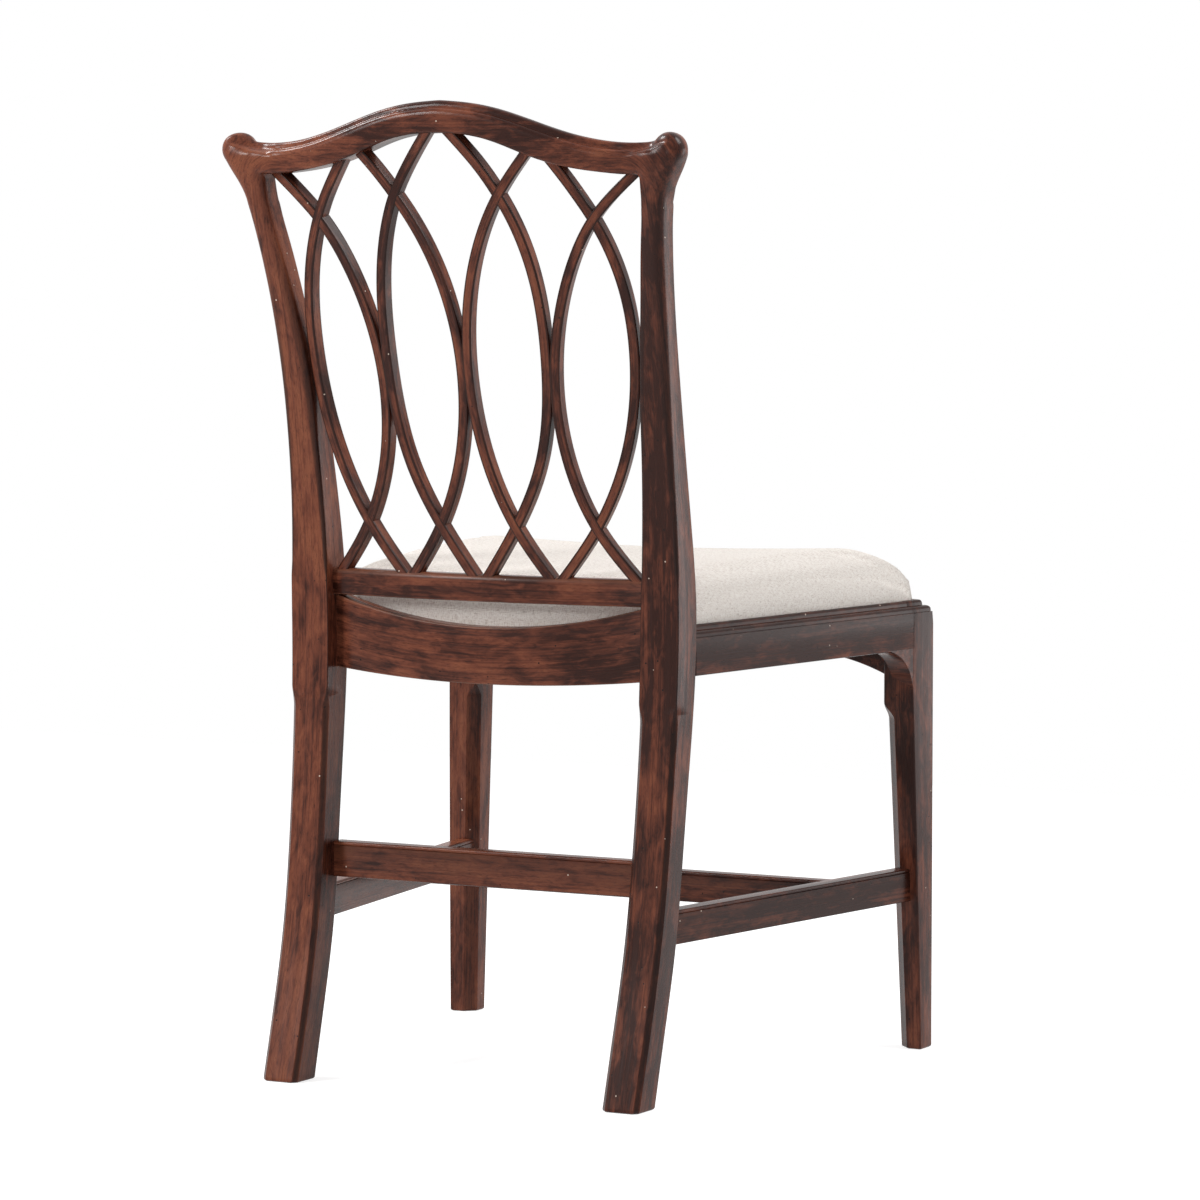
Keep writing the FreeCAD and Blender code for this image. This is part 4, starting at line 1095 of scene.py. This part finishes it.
def stretcher_profile(depth, low, high):
    """Section of a stretcher with a bead along both upper edges, and the painted shade on its lower
    edges and in its quirks.
    """
    bead = high - STRETCHER_BEAD
    half = [(1.2, low), (0.35, low + 0.35), (0, low + 1.2), (0, bead), (QUIRK, bead + 0.5)]
    half += bezier((QUIRK, bead + 0.5), (-0.1, bead + 1.0), (0.1, (bead + high) / 2 + 0.5), 4)
    half += bezier(half[-1], (0.2, high), (STRETCHER_BEAD * 0.6, high), 4)
    profile = half + [(depth - d, z) for d, z in reversed(half)]
    edge_shade = np.zeros(len(profile))
    # Painted shade on the lower eased corners and in the quirks below the beads
    edge_shade[[1, 3, 4, -5, -4, -2]] = BEAD_SHADE
    return profile, edge_shade


def crosswise(profile, back, half):
    """Rings of a straight stretcher that runs across the chair."""
    return [[(x, back - depth, z) for depth, z in profile] for x in np.linspace(-half, half, 25)]


def stretchers():
    profile, edge_wear_and_shade = stretcher_profile(STRETCHER_DEPTH, *REAR_STRETCHER_Z)
    half = post_at(sum(REAR_STRETCHER_Z) / 2)[1] + LET_IN
    rings = crosswise(profile, REAR_STRETCHER_BACK_Y, half)
    wooden("rear_stretcher", rings, edge_wear_and_shade, tone_and_side_light=REAR_STRETCHER_LIGHTENING)

    profile, edge_wear_and_shade = stretcher_profile(STRETCHER_DEPTH, *SIDE_STRETCHER_Z)
    start = FOOT_SIZE + (LEG_DEPTH - FOOT_SIZE) * SIDE_STRETCHER_Z[0] / CHAMFER_STOP[1] - LET_IN
    rear_y = post_at(SIDE_STRETCHER_Z[1])[3] + 4
    end = (rear_y - FRONT_Y) / SIDE_RUN[1]
    rings = [[side_point(SIDE_STRETCHER_INSET + depth, along, z) for depth, z in profile]
             for along in np.linspace(start, end, 25)]
    wooden_pair("side_stretcher", rings, edge_wear_and_shade)

    low, high = SIDE_STRETCHER_Z
    profile, edge_wear_and_shade = stretcher_profile(MEDIAL_DEPTH, low + 1, high - 1)
    half = side_x(SIDE_STRETCHER_INSET + STRETCHER_DEPTH, MEDIAL_BACK_Y) + LET_IN
    wooden("medial_stretcher", crosswise(profile, MEDIAL_BACK_Y, half), edge_wear_and_shade)


# Seat


def seat_rear(x):
    """Rear edge of the drop-in seat: bowed between the posts and notched round them."""
    notch_x, notch_y = SEAT_NOTCH
    between = bowed(SEAT_REAR_Y, min(abs(x), notch_x))
    return between + (notch_y - between) * float(smoothstep(abs(x), notch_x - 4, notch_x + 4))


def cushion_height(x, y):
    """Height of the cushion's top: a full rolled edge round a dished middle, falling to the rear."""
    ahead = y - FRONT_Y - SEAT_INSET
    side = (side_x(SEAT_INSET, y) - abs(x)) * SIDE_RUN[1]
    gaps = np.maximum([side, ahead, seat_rear(x) - y], 1e-3)
    inside = float((gaps ** -CORNER_POWER).sum() ** (-1 / CORNER_POWER))
    roll = math.sqrt(1 - (1 - min(inside / EDGE_ROLL, 1)) ** 2)
    half = side_x(SEAT_INSET + EDGE_ROLL, y)
    dish = SEAT_DISH * max(0.0, 1 - (x / half) ** 2)
    wall = WALL_SHARE + (1 - WALL_SHARE) * roll
    return SEAT_BASE + (SEAT_RISE * wall - dish * roll) * np.interp(ahead, *np.transpose(SEAT_SHARES))


def cushion_form():
    """Closed skin of the seat: walls round the frame, and a top drawn over it."""
    count = CUSHION_GRID
    steps = (1 - np.cos(np.linspace(0, math.pi, count))) / 2
    front = FRONT_Y + SEAT_INSET
    points, faces = [], []
    for back_share in steps:
        for across in steps * 2 - 1:
            rear = seat_rear(across * REAR_HALF)
            y = front + back_share * (rear - front)
            x = across * side_x(SEAT_INSET, y)
            points.append((x, y, cushion_height(x, y)))
    for i in range(count - 1):
        for j in range(count - 1):
            k = i * count + j
            faces.append((k, k + 1, k + count + 1, k + count))
    last = count - 1
    rim = list(range(last)) + [i * count + last for i in range(last)]
    rim += [last * count + j for j in range(last, 0, -1)] + [i * count for i in range(last, 0, -1)]
    base = len(points)
    points += [(points[i][0], points[i][1], SKIRT_BOTTOM) for i in rim]
    for i, corner in enumerate(rim):
        following = (i + 1) % len(rim)
        faces.append((corner, base + i, base + following, rim[following]))
    faces.append(tuple(range(base, base + len(rim))))
    return new_mesh("seat_cushion", points, faces)


def cushion():
    """Linen-covered seat, swollen by cloth simulation."""
    piece = new_piece("seat_cushion", cushion_form())
    one_skin(piece, CUSHION_VOXEL)
    swell(piece)
    finer = piece.modifiers.new("finer", "SUBSURF")
    finer.levels = finer.render_levels = 1
    apply_modifiers(piece)
    weave(piece.data)
    dress(piece, "linen", "seat", "seat_pad", "seat_cover")


def swell(piece):
    """Inflates a cushion that is held round its foot, by no more than its swell."""
    mesh = piece.data
    start = mesh_points(mesh)
    edges = mesh_edges(mesh)
    held = start[:, 2] < CUSHION_HELD_Z * MM
    start = smoothed(start, edges, np.where(held, 0.0, 0.5), 3)
    mesh.vertices.foreach_set("co", start.ravel())
    group = piece.vertex_groups.new(name="held")
    group.add([int(i) for i in np.nonzero(held)[0]], 1.0, "REPLACE")
    cloth = piece.modifiers.new("cloth", "CLOTH")
    settings = cloth.settings
    settings.quality = 6
    settings.mass = 0.3
    settings.tension_stiffness = 12
    settings.compression_stiffness = 12
    settings.bending_stiffness = 4
    settings.use_pressure = True
    settings.uniform_pressure_force = CUSHION_PRESSURE
    settings.vertex_group_mass = "held"
    settings.effector_weights.gravity = 0
    for number in range(1, CLOTH_FRAMES + 1):
        bpy.context.scene.frame_set(number)
    apply_modifiers(piece)
    moved = mesh_points(piece.data) - start
    length = np.linalg.norm(moved, axis=1, keepdims=True)
    limit = CUSHION_SWELL * MM
    moved *= np.minimum(1.0, limit / np.maximum(length, 1e-9))
    piece.data.vertices.foreach_set("co", (start + moved).ravel())
    piece.vertex_groups.clear()
    bpy.context.scene.frame_set(1)


def weave(mesh):
    """Stores where each point lies in the flat cloth, which runs over the edges of the top."""
    mesh.shade_smooth()
    points = mesh_points(mesh)
    normals = np.array([vertex.normal for vertex in mesh.vertices])
    drop = points[:, 2].max() - points[:, 2]
    flat = np.zeros_like(points)
    flat[:, 0] = points[:, 0] + normals[:, 0] * drop
    flat[:, 1] = points[:, 1] + normals[:, 1] * drop
    put(mesh, "weave", "FLOAT_VECTOR", flat)


CARRIED_OVER = (
    ("corner_block_screws", "screw_steel"),
    ("corner_block", "plain_wood"),
    ("seat_frame", "plain_wood"),
    ("seat_webbing", "webbing"),
    ("seat_dust_cloth", "dust_cloth"),
)


def carried_over():
    """Materials of the CAD nodes that stay: blocks, screws, seat frame, webbing and dust cloth."""
    for name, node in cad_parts.items():
        for start, slot in CARRIED_OVER:
            if name.startswith(start):
                node.data.materials.clear()
                node.data.materials.append(MATERIALS[slot])
                break


# Studio

CAMERA_PLACE = (-2.805, 5.0546, 0.934)
CAMERA_YAW = math.radians(28.71)
CAMERA_PITCH = math.radians(4.52)
CAMERA_LENS = 170.07
FLOOR_SIZE = 5.0
FLOOR_GAP = 0.0004
FLOOR_GREY = 0.55
FLOOR_GLOW = 0.80
ROOM_LIGHT = 0.3
WHITE = (1.0, 1.0, 1.0, 1.0)
# Softboxes: name, place and target in metres, size in metres, watts
SOFTBOXES = (
    ("key", (1.9, 0.2, 2.5), (0.0, 0.0, 0.7), (0.6, 0.6), 36),
    ("left", (1.2, 1.8, 1.35), (0.1, 0.1, 0.6), (0.5, 0.8), 25),
    ("right", (-1.5, -0.6, 2.4), (0.0, -0.05, 0.5), (1.2, 1.2), 41),
    ("front", (-1.75, -2.0, 0.5), (0.0, 0.0, 0.5), (0.8, 0.9), 7),
    ("rear", (-0.1, 3.1, 0.65), (0.0, 0.0, 0.5), (0.7, 0.9), 5),
)


def aimed(name, data, place, direction):
    """Camera or lamp that looks along a direction."""
    item = new_piece(name, data)
    item.location = place
    item.rotation_mode = "QUATERNION"
    item.rotation_quaternion = Vector(direction).to_track_quat("-Z", "Y")
    return item


def camera():
    data = bpy.data.cameras.new("camera")
    data.lens = CAMERA_LENS
    data.sensor_width = 36.0
    level = math.cos(CAMERA_PITCH)
    ahead = (math.sin(CAMERA_YAW) * level, -math.cos(CAMERA_YAW) * level, -math.sin(CAMERA_PITCH))
    bpy.context.scene.camera = aimed("camera", data, CAMERA_PLACE, ahead)


def softbox(name, place, target, size, power):
    data = bpy.data.lights.new(name, "AREA")
    data.shape = "RECTANGLE"
    data.size, data.size_y = size
    data.energy = power
    aimed(name, data, place, Vector(target) - Vector(place))


def seen_white(tree):
    """1 for the rays that meet a plain white studio: seen straight, mirrored or through glass."""
    rays = add(tree, "ShaderNodeLightPath")
    white = rays.outputs["Is Camera Ray"]
    for kind in ("Is Glossy Ray", "Is Transmission Ray"):
        white = math_node(tree, "MAXIMUM", white, rays.outputs[kind])
    return white


def backdrop():
    """White to the camera and to mirrors, and a dim even room as light."""
    world = bpy.data.worlds.new("studio")
    world.use_nodes = True
    bpy.context.scene.world = world
    tree = world.node_tree
    light = math_node(tree, "MAXIMUM", seen_white(tree), ROOM_LIGHT)
    feed(tree, tree.nodes["Background"], {"Color": WHITE, "Strength": light})


def floor():
    """Pale floor, white to the camera where no shadow falls."""
    half = FLOOR_SIZE / 2
    corners = [(-half, -half, 0), (half, -half, 0), (half, half, 0), (-half, half, 0)]
    mesh = bpy.data.meshes.new("floor")
    mesh.from_pydata(corners, [], [(0, 1, 2, 3)])
    ground = new_piece("floor", mesh)
    ground.location.z = -FLOOR_GAP
    material, tree, shader = new_material("floor")
    feed(tree, shader, {
        "Base Color": (FLOOR_GREY, FLOOR_GREY, FLOOR_GREY, 1.0),
        "Roughness": 1.0,
        "Specular IOR Level": 0.0,
        "Emission Color": WHITE,
        "Emission Strength": math_node(tree, "MULTIPLY", seen_white(tree), FLOOR_GLOW),
    })
    mesh.materials.append(material)


def studio():
    bpy.context.scene.view_settings.view_transform = "Standard"
    camera()
    backdrop()
    floor()
    for lamp in SOFTBOXES:
        softbox(*lamp)


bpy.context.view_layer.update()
rear_legs()
front_legs()
side_rails()
front_rail()
brackets()
crest_rail()
trellis()
shoe_rail()
rear_rail()
stretchers()
cushion()
carried_over()
studio()
